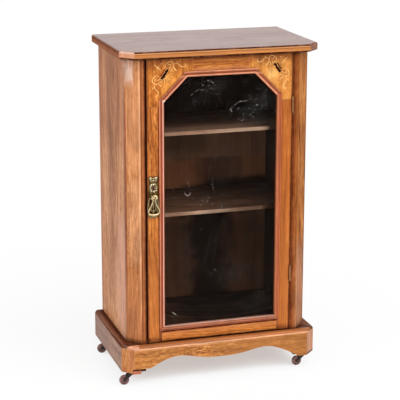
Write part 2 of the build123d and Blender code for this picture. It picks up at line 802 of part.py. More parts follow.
def caster_horn(x, y):
    """The stem, its collar and the forked horn that carries the axle behind the stem."""
    plate_z = foot_z - caster_plate_thickness
    collar_z = plate_z - collar_gap
    crown_z = collar_z - collar_height
    horn = rod((x, y, collar_z - collar_height), up, stem_radius, collar_height + collar_gap + stem_length)
    horn += rod((x, y, crown_z), up, collar_radius, collar_height)
    half = fork_inner + fork_cheek
    crown_x = (x - fork_crown_back, x - fork_crown_back + fork_crown_length)
    horn += block(*crown_x, y - half, y + half, crown_z - fork_crown_height, crown_z)
    axle_x, axle_z = x - caster_trail, wheel_radius
    cheek = [
        (crown_x[0], crown_z),
        (axle_x, axle_z + fork_boss_radius),
        (axle_x, axle_z - fork_boss_radius),
        (x, crown_z - fork_crown_height * 1.6),
        (crown_x[1], crown_z - fork_crown_height),
        (crown_x[1], crown_z),
    ]
    for hand in (-1, 1):
        y0, y1 = sorted((y + hand * fork_inner, y + hand * half))
        horn += front_prism(cheek, y0, y1)
        horn += rod((axle_x, y1, axle_z), front, fork_boss_radius, fork_cheek)
    return horn + rod((axle_x, y + half, axle_z), front, axle_radius, 2 * half)


def make_casters():
    plate_z = foot_z - caster_plate_thickness
    sockets = []
    for i, (name, (x, y)) in enumerate(caster_places.items()):
        parts[f"caster_wheel_{name}"] = caster_wheel(x, y)
        parts[f"caster_horn_{name}"] = caster_horn(x, y)
        plate = rod((x, y, plate_z), up, caster_plate_radius, caster_plate_thickness)
        tube = rod((x, y, foot_z), up, socket_radius, socket_length)
        bore = rod((x, y, plate_z - overrun), up, stem_radius + stem_gap, overrun + stem_length + stem_gap)
        parts["corner_blocks"][i] -= tube
        socket = plate + tube - bore
        size = (small_screw_head_radius, small_screw_shank_radius, small_screw_length)
        inward = math.atan2(-y, -x)
        for angle in screw_angles:
            turn = inward + math.radians(angle)
            point = Vector(
                x + caster_screw_circle * math.cos(turn), y + caster_screw_circle * math.sin(turn), plate_z
            )
            hole = screw(point, up, *size)
            socket -= hole
            parts["corner_blocks"][i] -= hole
            parts.setdefault("steel_screws", []).append(slotted(point, up, *size))
        sockets.append(socket)
    parts["caster_sockets"] = sockets


def make_fastenings():
    rails = {
        "top_front_rail": (opening_x, stop_y + top_rail_thickness / 2, top_rail_height),
        "top_back_rail": (side_inner_x, back_face_y - back_rail_thickness / 2, back_rail_height),
    }
    for rail, (reach, y, height) in rails.items():
        places = [(Vector(reach * share, y, carcass_top_z - height), up) for share in top_screw_shares]
        length = min(top_screw_length, height + top_thickness - top_upper_round)
        fasten("steel_screws", [rail, "top_board"], places, screw_head_radius, screw_shank_radius, length)
    y0 = carcass_front_y + shelf_setback + bearer_front_setback
    y1 = back_face_y - bearer_back_setback
    order = [(h, hand) for h in (lower_shelf_height, upper_shelf_height) for hand in (-1, 1)]
    for i, (height, hand) in enumerate(order):
        for share in bearer_screw_shares:
            point = Vector(
                hand * (side_inner_x - bearer_width), y0 + (y1 - y0) * share,
                base_z + height - bearer_height / 2,
            )
            into = Vector(hand, 0, 0)
            size = (screw_head_radius, screw_shank_radius, bearer_screw_length)
            hole = screw(point, into, *size)
            parts["shelf_bearers"][i] -= hole
            side = "left_side" if hand < 0 else "right_side"
            parts[side] -= hole
            parts["steel_screws"].append(slotted(point, into, *size))
    rear = Vector(0, -1, 0)
    nails = []
    reach = side_inner_x + back_rebate / 2
    for hand in (-1, 1):
        side = "left_side" if hand < 0 else "right_side"
        board = 0 if hand < 0 else back_board_count - 1
        for share in nail_height_shares:
            z = base_z + (carcass_top_z - base_z) * share
            z = max(z, base_z + floor_thickness / 2)
            at = (hand * reach, back_y, z)
            nail = rod(at, rear, nail_shank_radius, nail_length)
            nail += rod(at, rear, nail_head_radius, nail_head_thickness)
            parts["back_boards"][board] -= nail
            parts[side] -= nail
            nails.append(nail)
    step = 2 * (side_inner_x + back_rebate) / back_board_count
    for i in range(back_board_count):
        for z, node in (
            (base_z + floor_thickness / 2, "bottom_board"),
            (carcass_top_z - back_rail_height / 2, "top_back_rail"),
        ):
            at = (-side_inner_x - back_rebate + (i + board_nail_share) * step, back_y, z)
            nail = rod(at, rear, nail_shank_radius, nail_length)
            nail += rod(at, rear, nail_head_radius, nail_head_thickness)
            parts["back_boards"][i] -= nail
            parts[node] -= nail
            nails.append(nail)
    parts["back_nails"] = nails


make_top()
make_carcass()
make_shelves()
make_plinth()
make_corner_blocks()
make_door_frame()
make_glazing()
make_lock()
make_handle()
make_hinges()
make_casters()
make_fastenings()

os.makedirs("parts", exist_ok=True)
for name, shape in parts.items():
    solids = shape if isinstance(shape, list) else [shape]
    solids = [solid for piece in solids for solid in piece.solids()]
    whole = solids[0] if len(solids) == 1 else Compound(children=solids)
    export_step(whole, f"parts/{name}.step")
print(len(parts), "nodes written")
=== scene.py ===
# A glazed walnut music cabinet on casters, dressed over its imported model. Metres, front towards -Y, Z up.
# The tables of stains, glass, handle and inlay are in millimetres.
import math
import bpy
import numpy as np
from mathutils import Matrix, Vector


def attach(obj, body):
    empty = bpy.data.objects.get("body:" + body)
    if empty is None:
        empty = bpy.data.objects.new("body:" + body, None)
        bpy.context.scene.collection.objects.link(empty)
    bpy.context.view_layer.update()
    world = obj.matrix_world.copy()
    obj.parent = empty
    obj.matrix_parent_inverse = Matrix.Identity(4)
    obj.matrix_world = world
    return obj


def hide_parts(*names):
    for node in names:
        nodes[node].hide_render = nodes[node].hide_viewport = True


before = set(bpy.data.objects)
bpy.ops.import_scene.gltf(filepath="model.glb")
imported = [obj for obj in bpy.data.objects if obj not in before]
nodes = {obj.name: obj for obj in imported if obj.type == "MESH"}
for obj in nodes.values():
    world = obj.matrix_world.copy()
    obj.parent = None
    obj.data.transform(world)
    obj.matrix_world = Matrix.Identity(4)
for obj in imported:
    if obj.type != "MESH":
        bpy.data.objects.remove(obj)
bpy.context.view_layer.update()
print("frame loaded:", len(nodes), "nodes")


# Node helpers: each adds one node to a tree and wires it

def addNode(tree, kind, inputs=None, **settings):
    made = tree.nodes.new(kind)
    for key, value in settings.items():
        setattr(made, key, value)
    for key, value in (inputs or {}).items():
        if isinstance(value, bpy.types.NodeSocket):
            tree.links.new(value, made.inputs[key])
        else:
            made.inputs[key].default_value = value
    return made


def calc(tree, operation, *terms, clamp=False):
    inputs = dict(enumerate(terms))
    return addNode(tree, "ShaderNodeMath", inputs, operation=operation, use_clamp=clamp).outputs[0]


def vectorCalc(tree, operation, *terms, output="Vector"):
    return addNode(tree, "ShaderNodeVectorMath", dict(enumerate(terms)), operation=operation).outputs[output]


def mixColour(tree, amount, first, second):
    return addNode(tree, "ShaderNodeMix", {0: amount, 6: first, 7: second}, data_type="RGBA").outputs[2]


def colourRamp(tree, amount, stops):
    made = addNode(tree, "ShaderNodeValToRGB", {0: amount})
    band = made.color_ramp
    while len(band.elements) < len(stops):
        band.elements.new(0.5)
    for element, (at, colour) in zip(band.elements, stops):
        element.position = at
        element.color = (*colour, 1)
    return made.outputs[0]


def spread(tree, amount, low, high, newLow=0.0, newHigh=1.0):
    inputs = dict(enumerate((amount, low, high, newLow, newHigh)))
    return addNode(tree, "ShaderNodeMapRange", inputs).outputs[0]


def noise(tree, where, scale, detail=2.0, roughness=0.5):
    sockets = {"Vector": where, "Scale": scale, "Detail": detail, "Roughness": roughness}
    return addNode(tree, "ShaderNodeTexNoise", sockets).outputs[0]


def stretched(tree, where, scales):
    return vectorCalc(tree, "MULTIPLY", where, scales)


def objectPlace(tree):
    return addNode(tree, "ShaderNodeTexCoord").outputs["Object"]


def axesOf(tree, where):
    return dict(zip("XYZ", addNode(tree, "ShaderNodeSeparateXYZ", {0: where}).outputs))


def openShare(tree, reach, samples):
    # 1 in the open, less in corners and hollows that are narrower than the reach
    return addNode(tree, "ShaderNodeAmbientOcclusion", {"Distance": reach}, samples=samples).outputs["AO"]


def mixShader(tree, share, first, second):
    return addNode(tree, "ShaderNodeMixShader", {0: share, 1: first.outputs[0], 2: second.outputs[0]})


def tone(red, green, blue):
    # linear values of a colour that is given as it looks on a screen, 0 to 255
    shares = (red / 255, green / 255, blue / 255)
    return tuple(c / 12.92 if c <= 0.04045 else ((c + 0.055) / 1.055) ** 2.4 for c in shares)


def paint(*colour):
    return *tone(*colour), 1


def newMaterial(name):
    made = bpy.data.materials.new(name)
    made.use_nodes = True
    made.node_tree.nodes.clear()
    return made, made.node_tree


def finishMaterial(tree, sockets):
    shader = addNode(tree, "ShaderNodeBsdfPrincipled", sockets)
    addNode(tree, "ShaderNodeOutputMaterial", {0: shader.outputs[0]})


# Walnut: a board is cut from a log. The distance from the log's heart, bent by slow noise, carries the bands
# of the grain; short dark pores and fine fibres run along it; dirt and painted shade gather in the corners
# and narrow gaps, and the edges are rubbed pale.

def box(x=None, y=None, z=None):
    # a span on each axis, given in the cabinet's own millimetres; an axis left out isn't bounded
    return tuple(span and (span[0] / 1000, span[1] / 1000) for span in (x, y, z))


def stain(colour, amount, soft, **spans):
    # a box of another colour: how strongly it covers, and how wide its border is, at once or on X, Y and Z
    softs = soft if isinstance(soft, tuple) else (soft,) * 3
    return colour, amount, box(**spans), tuple(reach / 1000 for reach in softs)


def stripes(axis, rows, **spans):
    # stains that differ on one axis: each row has a colour, its cover, its border, and its two ends
    return [stain(colour, amount, soft, **{**spans, axis: (low, high)})
            for colour, amount, soft, low, high in rows]


woodDefaults = {
    "grain": "Z",           # the way the fibres run
    "face": "Y",            # the way the board's show face looks
    "centre": (0, 0, 0), "heart": (0.02, 0.11),  # the board's middle, and how far off the log's heart is
    "lean": 0.05,           # how far the heart leans along the board
    "slice": 0.37,          # which slice of the noise the bands are read from
    "dark": (92, 45, 20), "middle": (176, 102, 48), "light": (214, 142, 78),
    "bands": 60.0, "bandWarp": 0.048, "mottle": 0.3, "mottleSize": (16, 16, 8), "streaks": 0.4, "fine": 0.85,
    "flecks": 0.3, "dashes": 0.4, "pores": 0.6, "spots": 0.0,  # spots are small dark knocks
    # dirt and dirtAndShadeReach: how strongly, and within what reach, dirt and painted shade darken corners
    # and gaps
    "gloss": 0.42, "sheen": 0.25, "bump": 0.3, "edge": 0.35, "dirtAndShade": 0.9, "dirtAndShadeReach": 0.02,
    "stains": (), "within": box(), "patch": 0.5,  # where the stains lie at all, and how uneven they are
    "matte": None,          # a box whose wood doesn't shine
}
woodMarks = {  # what runs along the grain: scales across, into and along the board, then detail and roughness
    "bend": ((9, 9, 2.2), 3.0, 0.55), "streak": ((260, 260, 7), 2.0, 0.6),
    "fibre": ((1400, 1400, 26), 2.0, 0.6), "pore": ((1100, 1100, 60), 1.0, 0.5),
    "fleck": ((210, 210, 90), 2.0, 0.7), "dash": ((340, 340, 42), 2.0, 0.6),
}
woodCuts = {  # from where to where each noise, angle or shade counts, and to what
    "pore": (0.60, 0.70), "fleck": (0.62, 0.74), "darkDash": (0.53, 0.68), "paleDash": (0.45, 0.32),
    "knock": (0.58, 0.64), "patch": (0.35, 0.6, 0.35, 1.0), "rubbed": (0.995, 0.90),
    "grain": (0.0, 1.0, 0.62, 1.38), "grimeAndShade": (0.78, 0.38), "shine": (0.01, 0.08, 0.1, 1.0),
}
# the tints of knocks, of rubbed edges, and of dirt with painted shade in the corners
woodTints = {"knock": (44, 18, 6), "rubbed": (240, 186, 136), "grimeAndShade": (30, 12, 5)}
thinnest = 0.0004  # the narrowest border of a stain, in metres


def boxMask(tree, axes, ranges, softs, waver):
    # 1 inside the box, falling to 0 over the soft distance outside it; a softer border wanders more
    mask = None
    for axis, span, reach in zip("XYZ", ranges, softs):
        if span is None:
            continue
        low, high = span
        away = calc(tree, "ABSOLUTE", calc(tree, "SUBTRACT", axes[axis], (low + high) / 2))
        away = calc(tree, "MULTIPLY_ADD", waver, reach * 1.6, away)
        part = spread(tree, away, (high - low) / 2, (high - low) / 2 + max(reach, thinnest), 1, 0)
        mask = part if mask is None else calc(tree, "MULTIPLY", mask, part)
    return mask


def woodMaterial(name, **changes):
    v = {**woodDefaults, **changes}
    material, tree = newMaterial(name)

    def times(first, second):
        return calc(tree, "MULTIPLY", first, second)

    def cut(key, amount):
        return spread(tree, amount, *woodCuts[key])

    where = objectPlace(tree)
    cabinetAxes = axesOf(tree, where)
    axes = axesOf(tree, vectorCalc(tree, "SUBTRACT", where, v["centre"]))
    along, depth = axes[v["grain"]], axes[v["face"]]
    across = axes[({"X", "Y", "Z"} - {v["grain"], v["face"]}).pop()]
    board = addNode(tree, "ShaderNodeCombineXYZ", {0: across, 1: depth, 2: along}).outputs[0]
    kinds = {**woodMarks, "mottle": (v["mottleSize"], 4.0, 0.6)}
    marks = {key: noise(tree, stretched(tree, board, scales), 1.0, *kind)
             for key, (scales, *kind) in kinds.items()}

    # the distance from the heart, and the bands that follow it
    bend = times(calc(tree, "SUBTRACT", marks["bend"], 0.5), v["bandWarp"])
    out = calc(tree, "ADD", calc(tree, "SUBTRACT", across, v["heart"][0]), bend)
    deep = calc(tree, "ADD", calc(tree, "SUBTRACT", depth, v["heart"][1]), times(along, v["lean"]))
    radius = calc(tree, "SQRT", calc(tree, "ADD", times(out, out), times(deep, deep)))
    ringed = addNode(tree, "ShaderNodeCombineXYZ", {0: radius, 1: along, 2: v["slice"]}).outputs[0]
    bands = noise(tree, stretched(tree, ringed, (v["bands"], 0.9, 1)), 1.0, 3.0, 0.6)
    fine = noise(tree, stretched(tree, ringed, (v["bands"] * 6, 3.5, 1)), 1.0, 2.0, 0.6)
    level = 0.5  # from dark to light; each layer moves it by its own weight
    for layer, weight in (
            (bands, v["streaks"] * 2.6), (fine, v["fine"] * 1.3), (marks["streak"], v["fine"] * 1.3),
            (marks["mottle"], v["mottle"] * 2.4), (marks["fibre"], 0.4)):
        level = calc(tree, "MULTIPLY_ADD", calc(tree, "SUBTRACT", layer, 0.5), weight, level)
    level = calc(tree, "ADD", level, 0.0, clamp=True)

    # tone, then pores, flecks, dashes and knocks
    dark, middle, light = (tone(*v[key]) for key in ("dark", "middle", "light"))
    deepest, darker, lighter = ((*(c * share for c in base), 1)
                                for base, share in ((dark, 0.35), (dark, 0.8), (light, 1.15)))
    colour = colourRamp(tree, level, [(0.0, dark), (0.5, middle), (1.0, light)])
    pore = cut("pore", marks["pore"])
    knock = cut("knock", noise(tree, where, 210.0, 2.0, 0.6))
    for share, weight, over in (
            (pore, v["pores"], deepest), (cut("fleck", marks["fleck"]), v["flecks"], deepest),
            (cut("darkDash", marks["dash"]), v["dashes"], darker),
            (cut("paleDash", marks["dash"]), v["dashes"], lighter),
            (knock, v["spots"], paint(*woodTints["knock"]))):
        colour = mixColour(tree, times(share, weight), colour, over)

    # edges are rubbed pale where a rounded corner would turn away from the flat face
    patchy = cut("patch", noise(tree, board, 60.0, 3.0))
    waver = calc(tree, "SUBTRACT", noise(tree, where, 28.0, 4.0, 0.65), 0.5)
    bevel = addNode(tree, "ShaderNodeBevel", {"Radius": 0.0016}, samples=4).outputs[0]
    normal = addNode(tree, "ShaderNodeNewGeometry").outputs["True Normal"]
    square = vectorCalc(tree, "DOT_PRODUCT", bevel, normal, output="Value")
    rubbed = times(times(cut("rubbed", square), patchy), v["edge"])
    colour = mixColour(tree, rubbed, colour, paint(*woodTints["rubbed"]))

    # stains, real ones and painted light and shade, keep the grain's tone
    grain = cut("grain", level)
    inside = boxMask(tree, cabinetAxes, v["within"], (thinnest,) * 3, waver)
    for tint, amount, ranges, softs in v["stains"]:
        cover = times(boxMask(tree, cabinetAxes, ranges, softs, waver), amount)
        uneven = calc(tree, "MULTIPLY_ADD", patchy, v["patch"], 1.1 - v["patch"])
        uneven = calc(tree, "MULTIPLY", cover, uneven, clamp=True)
        uneven = uneven if inside is None else times(uneven, inside)
        tinted = {0: tone(*tint), 3: grain}
        stained = addNode(tree, "ShaderNodeVectorMath", tinted, operation="SCALE").outputs[0]
        colour = mixColour(tree, uneven, colour, stained)

    # dirt with painted shade in the corners and gaps, and a shine that dark and dirty wood loses
    grimeAndShade = times(cut("grimeAndShade", openShare(tree, v["dirtAndShadeReach"], 6)), v["dirtAndShade"])
    colour = mixColour(tree, grimeAndShade, colour, paint(*woodTints["grimeAndShade"]))
    rough = spread(tree, level, 0, 1, v["gloss"] + 0.08, v["gloss"] - 0.05)
    rough = calc(tree, "ADD", rough, times(grimeAndShade, 0.25))
    height = calc(tree, "SUBTRACT", times(marks["fibre"], 0.5), pore)
    bump = addNode(tree, "ShaderNodeBump", {"Strength": v["bump"], "Distance": 0.0004, "Height": height})
    shine = times(cut("shine", addNode(tree, "ShaderNodeRGBToBW", {0: colour}).outputs[0]), v["sheen"])
    if v["matte"]:
        dulled = boxMask(tree, cabinetAxes, v["matte"], (0.0006,) * 3, waver)
        shine = times(shine, calc(tree, "SUBTRACT", 1.0, dulled))
    finishMaterial(tree, {
        "Base Color": colour, "Roughness": rough, "Specular IOR Level": shine, "Normal": bump.outputs[0],
    })
    return material


def dress(material, *names):
    for name in names:
        mesh = nodes[name].data
        mesh.materials.clear()
        mesh.materials.append(material)


# stains that two woods share where their boards meet: painted shade inside, painted shadow under the top,
# painted shade in the door's gaps
postInsideShade = stain((64, 38, 28), 1.4, 2, x=(-244, 244), y=(-128, -50))
postShadowUnderTop = stain((84, 38, 16), 0.8, 3, z=(913.5, 930))
doorLeftGapShade = stain((60, 20, 4), 0.95, 1.2, x=(-220, -208.3))
doorRightGapShade = stain((96, 42, 14), 0.8, 1.2, x=(203.5, 210))
doorShadowUnderTop = stain((84, 34, 8), 0.95, 1.5, z=(914, 930))

woods = {
    "topWalnut": dict(
        grain="X", face="Z", centre=(0.05, -0.02, 0.93), heart=(0.05, -0.16), sheen=0.28, gloss=0.3,
        edge=0.15, streaks=0.12, fine=0.5, flecks=0.7, mottle=0.15, dashes=0.3,
        matte=box(x=(-300, -279), y=(-139, 180), z=(900, 938.4)),
        dark=(100, 74, 68), middle=(146, 117, 111), light=(168, 139, 130),
        stains=(  # the front edge line by line with painted highlights and shade of its rounded profile, the back and left edges, the left cant with a painted highlight, the right edge
            stain((226, 190, 172), 0.8, 1.2, y=(-180, -169), z=(939.4, 950)),
            *stripes("z", y=(-180, -139), rows=(
                ((186, 116, 54), 1.0, 0.4, 900, 938.6), ((66, 26, 8), 1.0, 0.3, 935, 938.8),
                ((208, 146, 90), 0.8, 0.4, 932.6, 934.6), ((144, 82, 30), 0.8, 0.4, 930, 932.2),
                ((190, 120, 60), 0.8, 0.8, 922, 926.5), ((60, 20, 2), 1.0, 0.4, 900, 922.2),
            )),
            stain((112, 66, 44), 0.9, 1, y=(169, 180), z=(900, 938.6)),
            *stripes("z", x=(-300, -279), y=(-139, 180), rows=(
                ((128, 78, 56), 1.0, 0.6, 900, 938), ((160, 102, 74), 0.9, 3, 918, 928),
            )),
            *stripes("z", x=(-300, -248), y=(-180, -139.5), rows=(
                ((214, 150, 118), 0.85, 1, 924, 936), ((240, 200, 180), 0.6, 0.6, 935, 939),
            )),
            stain((112, 56, 30), 0.9, 2, x=(249, 300), y=(-180, 180), z=(900, 938)),
        )),
    "sideWalnut": dict(
        grain="Z", face="X", centre=(-0.26, 0.03, 0.5), heart=(-0.02, 0.12), sheen=0.09, streaks=0.45,
        dirtAndShade=0.25, dirtAndShadeReach=0.012, dashes=0.5, spots=0.2,
        dark=(130, 70, 34), middle=(206, 138, 88), light=(236, 178, 128),
        stains=(  # dark by the post, painted shadow under the top, pale low down; the last one is painted shade on the inside
            stain((142, 84, 62), 0.6, 3, y=(-130, -119)),
            stain((164, 96, 50), 0.65, 100, z=(700, 920)),
            stain((212, 158, 134), 0.6, 80, y=(-120, -60), z=(110, 420)),
            stain((150, 92, 56), 0.5, 30, y=(20, 70), z=(200, 880)),
            stain((146, 80, 48), 0.5, 6, y=(150, 170)),
            stain((96, 48, 26), 0.6, 4, z=(908, 920)),
            stain((66, 40, 31), 1.4, 0.6, x=(-245.2, 245.2)),
        )),
    "postWalnut": dict(
        grain="Z", face="Y", centre=(-0.24, -0.13, 0.5), heart=(0.05, 0.05), sheen=0.18, edge=0.08,
        spots=0.35, dark=(132, 70, 30), middle=(190, 120, 67), light=(224, 163, 110),
        stains=(  # pale places of the cant and its arris as painted highlights, its edges, painted shade inside, the strip by the door with painted shade at the gap, the foot, painted shadow at the head
            stain((222, 152, 104), 0.6, (4, 0, 100), x=(-258.5, -228), z=(660, 860)),
            stain((236, 202, 184), 0.7, (5, 0, 30), x=(-259, -245), z=(866, 896)),
            stain((228, 168, 126), 0.35, 30, x=(-243, -229), z=(360, 560)),
            stain((240, 176, 126), 0.7, (0.6, 0, 50), x=(-230.5, -227.4), z=(200, 900)),
            stain((140, 74, 42), 0.9, (1.2, 0, 50), x=(-265, -259.2), z=(118, 800)),
            postInsideShade,
            *stripes("x", z=(118, 1000), rows=(
                ((158, 90, 46), 0.95, 0.8, -226.2, -200), ((138, 72, 34), 0.9, 0.6, -226.2, -223.2),
                ((104, 52, 24), 0.9, 1.2, -217.2, -200), ((44, 12, 2), 1.4, 0.8, -214.6, -200),
            )),
            stain((186, 116, 70), 0.8, (4, 0, 100), x=(-265, -230), z=(110, 260)),
            stain((108, 56, 28), 0.7, 8, z=(117.5, 124)),
            postShadowUnderTop,
        )),
    "rightPostWalnut": dict(
        grain="Z", face="Y", centre=(0.24, -0.13, 0.5), heart=(-0.03, 0.06), sheen=0.06, gloss=0.5, fine=1.2,
        spots=0.3, dark=(104, 52, 18), middle=(174, 104, 48), light=(214, 144, 78),
        stains=(  # the pale foot, the bead's edges and hollow, painted shade inside, the right edge, the plinth's cant, painted shadow under the top
            stain((184, 132, 104), 0.6, 60, x=(223, 270), z=(118, 330)),
            stain((126, 60, 26), 0.9, 1.2, x=(206, 218.5), z=(118, 1000)),
            postInsideShade,
            *stripes("x", z=(118, 1000), rows=(
                ((104, 46, 16), 0.9, 0.8, 206.5, 209.5), ((142, 80, 36), 0.85, 1, 218.5, 226.2),
                ((126, 72, 36), 0.7, 2, 259, 300),
            )),
            stain((190, 142, 116), 0.75, 4, x=(250, 300), z=(0, 109)),
            stain((60, 30, 18), 0.7, 6, x=(250, 300), z=(0, 44)),
            postShadowUnderTop,
        )),
    "doorWalnut": dict(
        grain="Z", face="Y", centre=(-0.19, -0.14, 0.5), heart=(0.06, 0.10), sheen=0.14, spots=0.3,
        dark=(124, 58, 14), middle=(202, 118, 50), light=(234, 158, 84),
        stains=(  # painted shade low down and at the right, painted shade in the gaps at the stiles' edges, painted shadow beside the moulding and at the foot, dirt and painted shadow behind the handle, knocks
            stain((172, 98, 44), 0.8, 140, z=(110, 340)),
            stain((174, 98, 42), 0.8, 140, x=(170, 210), z=(110, 500)),
            stain((176, 94, 36), 0.7, 140, x=(170, 210), z=(500, 800)),
            doorLeftGapShade,
            stain((124, 66, 30), 0.6, 1.5, x=(-220, -206)),
            doorRightGapShade,
            stain((110, 52, 24), 0.8, 1, x=(-178.2, -170)),
            stain((96, 44, 16), 0.6, 1.2, x=(170, 177.2)),
            stain((168, 92, 36), 0.6, (4, 0, 10), x=(170, 183), z=(130, 800)),
            stain((84, 40, 16), 0.6, 14, z=(110, 124)),
            stain((70, 38, 16), 0.9, 6, x=(-204.5, -179.5), z=(484, 592)),
            stain((48, 20, 8), 0.9, 0.8, x=(-206.2, -203), z=(126.2, 130.2)),
            stain((48, 20, 8), 0.9, 0.8, x=(-209.6, -208), z=(218.8, 220.6)),
        )),
    "railWalnut": dict(
        grain="X", face="Y", centre=(0, -0.14, 0.9), heart=(-0.03, 0.09), sheen=0.14,
        dark=(112, 50, 14), middle=(190, 108, 44), light=(226, 150, 76),
        stains=(  # painted shadow under the top and painted shade at the rails' edges, painted shadow under the lower moulding, pale middles
            doorShadowUnderTop,
            stain((140, 70, 28), 0.7, 3, z=(909, 930)),
            stain((60, 20, 4), 0.9, 1.5, z=(110, 122)),
            stain((88, 26, 4), 0.95, 1.6, x=(-176, 176), z=(146.8, 153)),
            stain((208, 134, 78), 0.5, 1.6, z=(137, 145)),
            stain((196, 122, 74), 0.6, 4, x=(-110, 110), z=(870, 884)),
        )),
    "plinthWalnut": dict(
        grain="X", face="Y", centre=(0.1, -0.17, 0.08), heart=(0.06, 0.05), sheen=0.15, mottle=0.42,
        flecks=1.0, mottleSize=(120, 120, 50), streaks=0.4, edge=0.1, fine=0.6, dashes=0.6, spots=0.75,
        dark=(118, 58, 18), middle=(200, 128, 64), light=(236, 176, 110),
        stains=(  # the pale upper edge with a painted highlight, the worn left third, painted shade at the right
            stain((214, 154, 112), 0.7, 0.8, z=(106, 109)),
            stain((180, 116, 72), 0.6, 1, z=(102.6, 105.2)),
            stain((176, 112, 56), 0.6, (60, 0, 0), x=(-260, -140)),
            stain((120, 62, 26), 0.5, 30, x=(235, 260)),
            stain((164, 104, 52), 0.85, 120, x=(40, 260)),
        )),
    "baseWalnut": dict(
        grain="X", face="Y", centre=(0.1, -0.17, 0.11), heart=(0.06, 0.05), sheen=0.25, edge=0.1, spots=0.4,
        dark=(118, 60, 22), middle=(186, 116, 62), light=(222, 160, 104),
        stains=(  # the flat, the nose's painted highlight, the pale left end, painted shade where it meets the posts
            stain((160, 94, 48), 1.0, 1, y=(-180, -150), z=(112.6, 119)),
            stain((250, 188, 144), 0.9, 0.8, x=(-255, 260), y=(-180, -166), z=(108, 111.6)),
            stain((212, 150, 116), 0.95, 3, x=(-290, -242), y=(-180, -140), z=(110, 119)),
            stain((84, 38, 18), 0.9, 4, x=(-268, -212), y=(-150, -120), z=(112, 120)),
            stain((64, 26, 8), 0.9, 3, y=(-152, -120), z=(112, 120)),
        )),
    "plinthSide": dict(
        grain="Y", face="X", centre=(-0.28, 0, 0.08), heart=(0.06, 0.05), sheen=0.3,
        dark=(100, 60, 40), middle=(156, 108, 80), light=(190, 142, 112),
        stains=(
            stain((128, 84, 66), 0.6, 80, y=(60, 180)),
        )),
    "sideMoulding": dict(
        grain="Y", face="X", centre=(-0.28, 0, 0.11), heart=(0.06, 0.05), sheen=0.08, gloss=0.5, edge=0.15,
        dirtAndShade=0.4, dark=(76, 34, 18), middle=(118, 68, 44), light=(150, 96, 70),
        stains=(
            stain((74, 30, 10), 0.8, 3, x=(-272, -250)),
        )),
    "mouldingWalnut": dict(
        grain="Z", face="Y", centre=(0, -0.15, 0.5), heart=(0.3, 0.05), sheen=0.3, gloss=0.26, edge=0.1,
        fine=0.3, dark=(112, 46, 24), middle=(174, 94, 58), light=(208, 132, 92),
        stains=(  # painted highlights and shade: the section's own lines from back to front, then those of each length of the moulding, and a painted glint at the top left corner
            stain((150, 70, 34), 0.9, 0.8, y=(-151.1, -149)),
            stain((84, 28, 14), 0.8, 0.5, y=(-149.5, -130)),
            stain((226, 152, 120), 0.7, 0.2, y=(-155, -153.4)),
            stain((158, 76, 46), 0.9, 0.4, x=(-172.2, -167), z=(164, 800)),
            stain((242, 174, 152), 0.85, 0.4, x=(-166.4, -164.6), z=(164, 804)),
            stain((106, 60, 42), 0.9, 0.4, x=(-163.4, -160), z=(164, 800)),
            stain((214, 132, 94), 0.8, 0.4, x=(-175.8, -172.8), z=(160, 803)),
            stain((168, 92, 56), 0.9, 0.8, x=(160, 168), z=(164, 804)),
            stain((198, 102, 56), 0.8, 0.8, x=(169, 175.5), z=(160, 804)),
            *stripes("z", x=(-130, 130), rows=(
                ((222, 146, 108), 0.8, 0.6, 873.8, 878), ((150, 70, 24), 0.9, 0.6, 868.6, 872.8),
                ((216, 140, 100), 0.8, 0.6, 862, 867.2),
            )),
            stain((136, 69, 26), 0.9, 0.4, x=(-172, 172), z=(144, 149.2)),
            stain((80, 22, 2), 0.95, 0.4, x=(-172, 172), z=(149.6, 152.4)),
            stain((132, 62, 28), 0.9, 0.4, x=(-169, 169), z=(152.8, 155)),
            stain((196, 120, 84), 0.85, 0.4, x=(-169, 169), z=(155.6, 160.6)),
            stain((126, 66, 44), 0.85, 0.3, x=(-166, 166), z=(161.1, 162.8)),
            stain((164, 122, 106), 0.9, 0.4, x=(-162, 162), z=(163.2, 167)),
            stain((255, 222, 202), 1.0, 0.5, x=(-164, -159.5), y=(-160, -150), z=(799.2, 803)),
        )),
    "cornerVeneer": dict(
        grain="Z", face="Y", centre=(-0.15, -0.15, 0.85), heart=(0.03, 0.03), mottle=0.9, sheen=0.16,
        flecks=0.6, mottleSize=(60, 60, 40), fine=0.5,
        dark=(138, 66, 14), middle=(194, 112, 40), light=(226, 150, 70),
        stains=(  # pale figure round both inlays, then the edges with painted shadow under the top and painted shade in the door's gaps
            stain((224, 152, 70), 0.6, 12, x=(-150, -136), z=(848, 860)),
            stain((208, 136, 56), 0.5, 14, x=(-150, -126), z=(826, 850)),
            stain((234, 170, 92), 0.7, 18, x=(124, 150), z=(844, 866)),
            stain((252, 210, 134), 0.7, 8, x=(137, 152), z=(854, 868)),
            stain((212, 144, 70), 0.5, 20, x=(100, 210), z=(780, 900)),
            stain((150, 76, 32), 0.6, 10, z=(902, 920)),
            doorLeftGapShade,
            stain((132, 72, 34), 0.6, 2, x=(-220, -205)),
            doorRightGapShade,
            doorShadowUnderTop,
            stain((84, 36, 12), 0.6, 0.8, z=(780, 786.2)),
        )),
    "backWalnut": dict(
        grain="Z", face="Y", centre=(0.04, 0.16, 0.5), heart=(0.02, 0.08), sheen=0.1, gloss=0.6, edge=0.0,
        dirtAndShade=0.25, dark=(88, 50, 32), middle=(150, 98, 70), light=(188, 132, 98), streaks=0.25, fine=0.3,
        dashes=0.1, flecks=0.1, pores=0.2,
        within=box(y=(100, 166)), patch=0.15,
        stains=(  # painted light and shade of the bays from above: dark, pale with a darker left half, and a band over a dark middle
            stain((58, 38, 30), 0.95, 20, z=(700, 920)),
            stain((156, 112, 86), 0.7, (50, 0, 4), z=(562, 700)),
            stain((98, 68, 50), 0.6, (60, 0, 30), x=(-260, 30), z=(600, 680)),
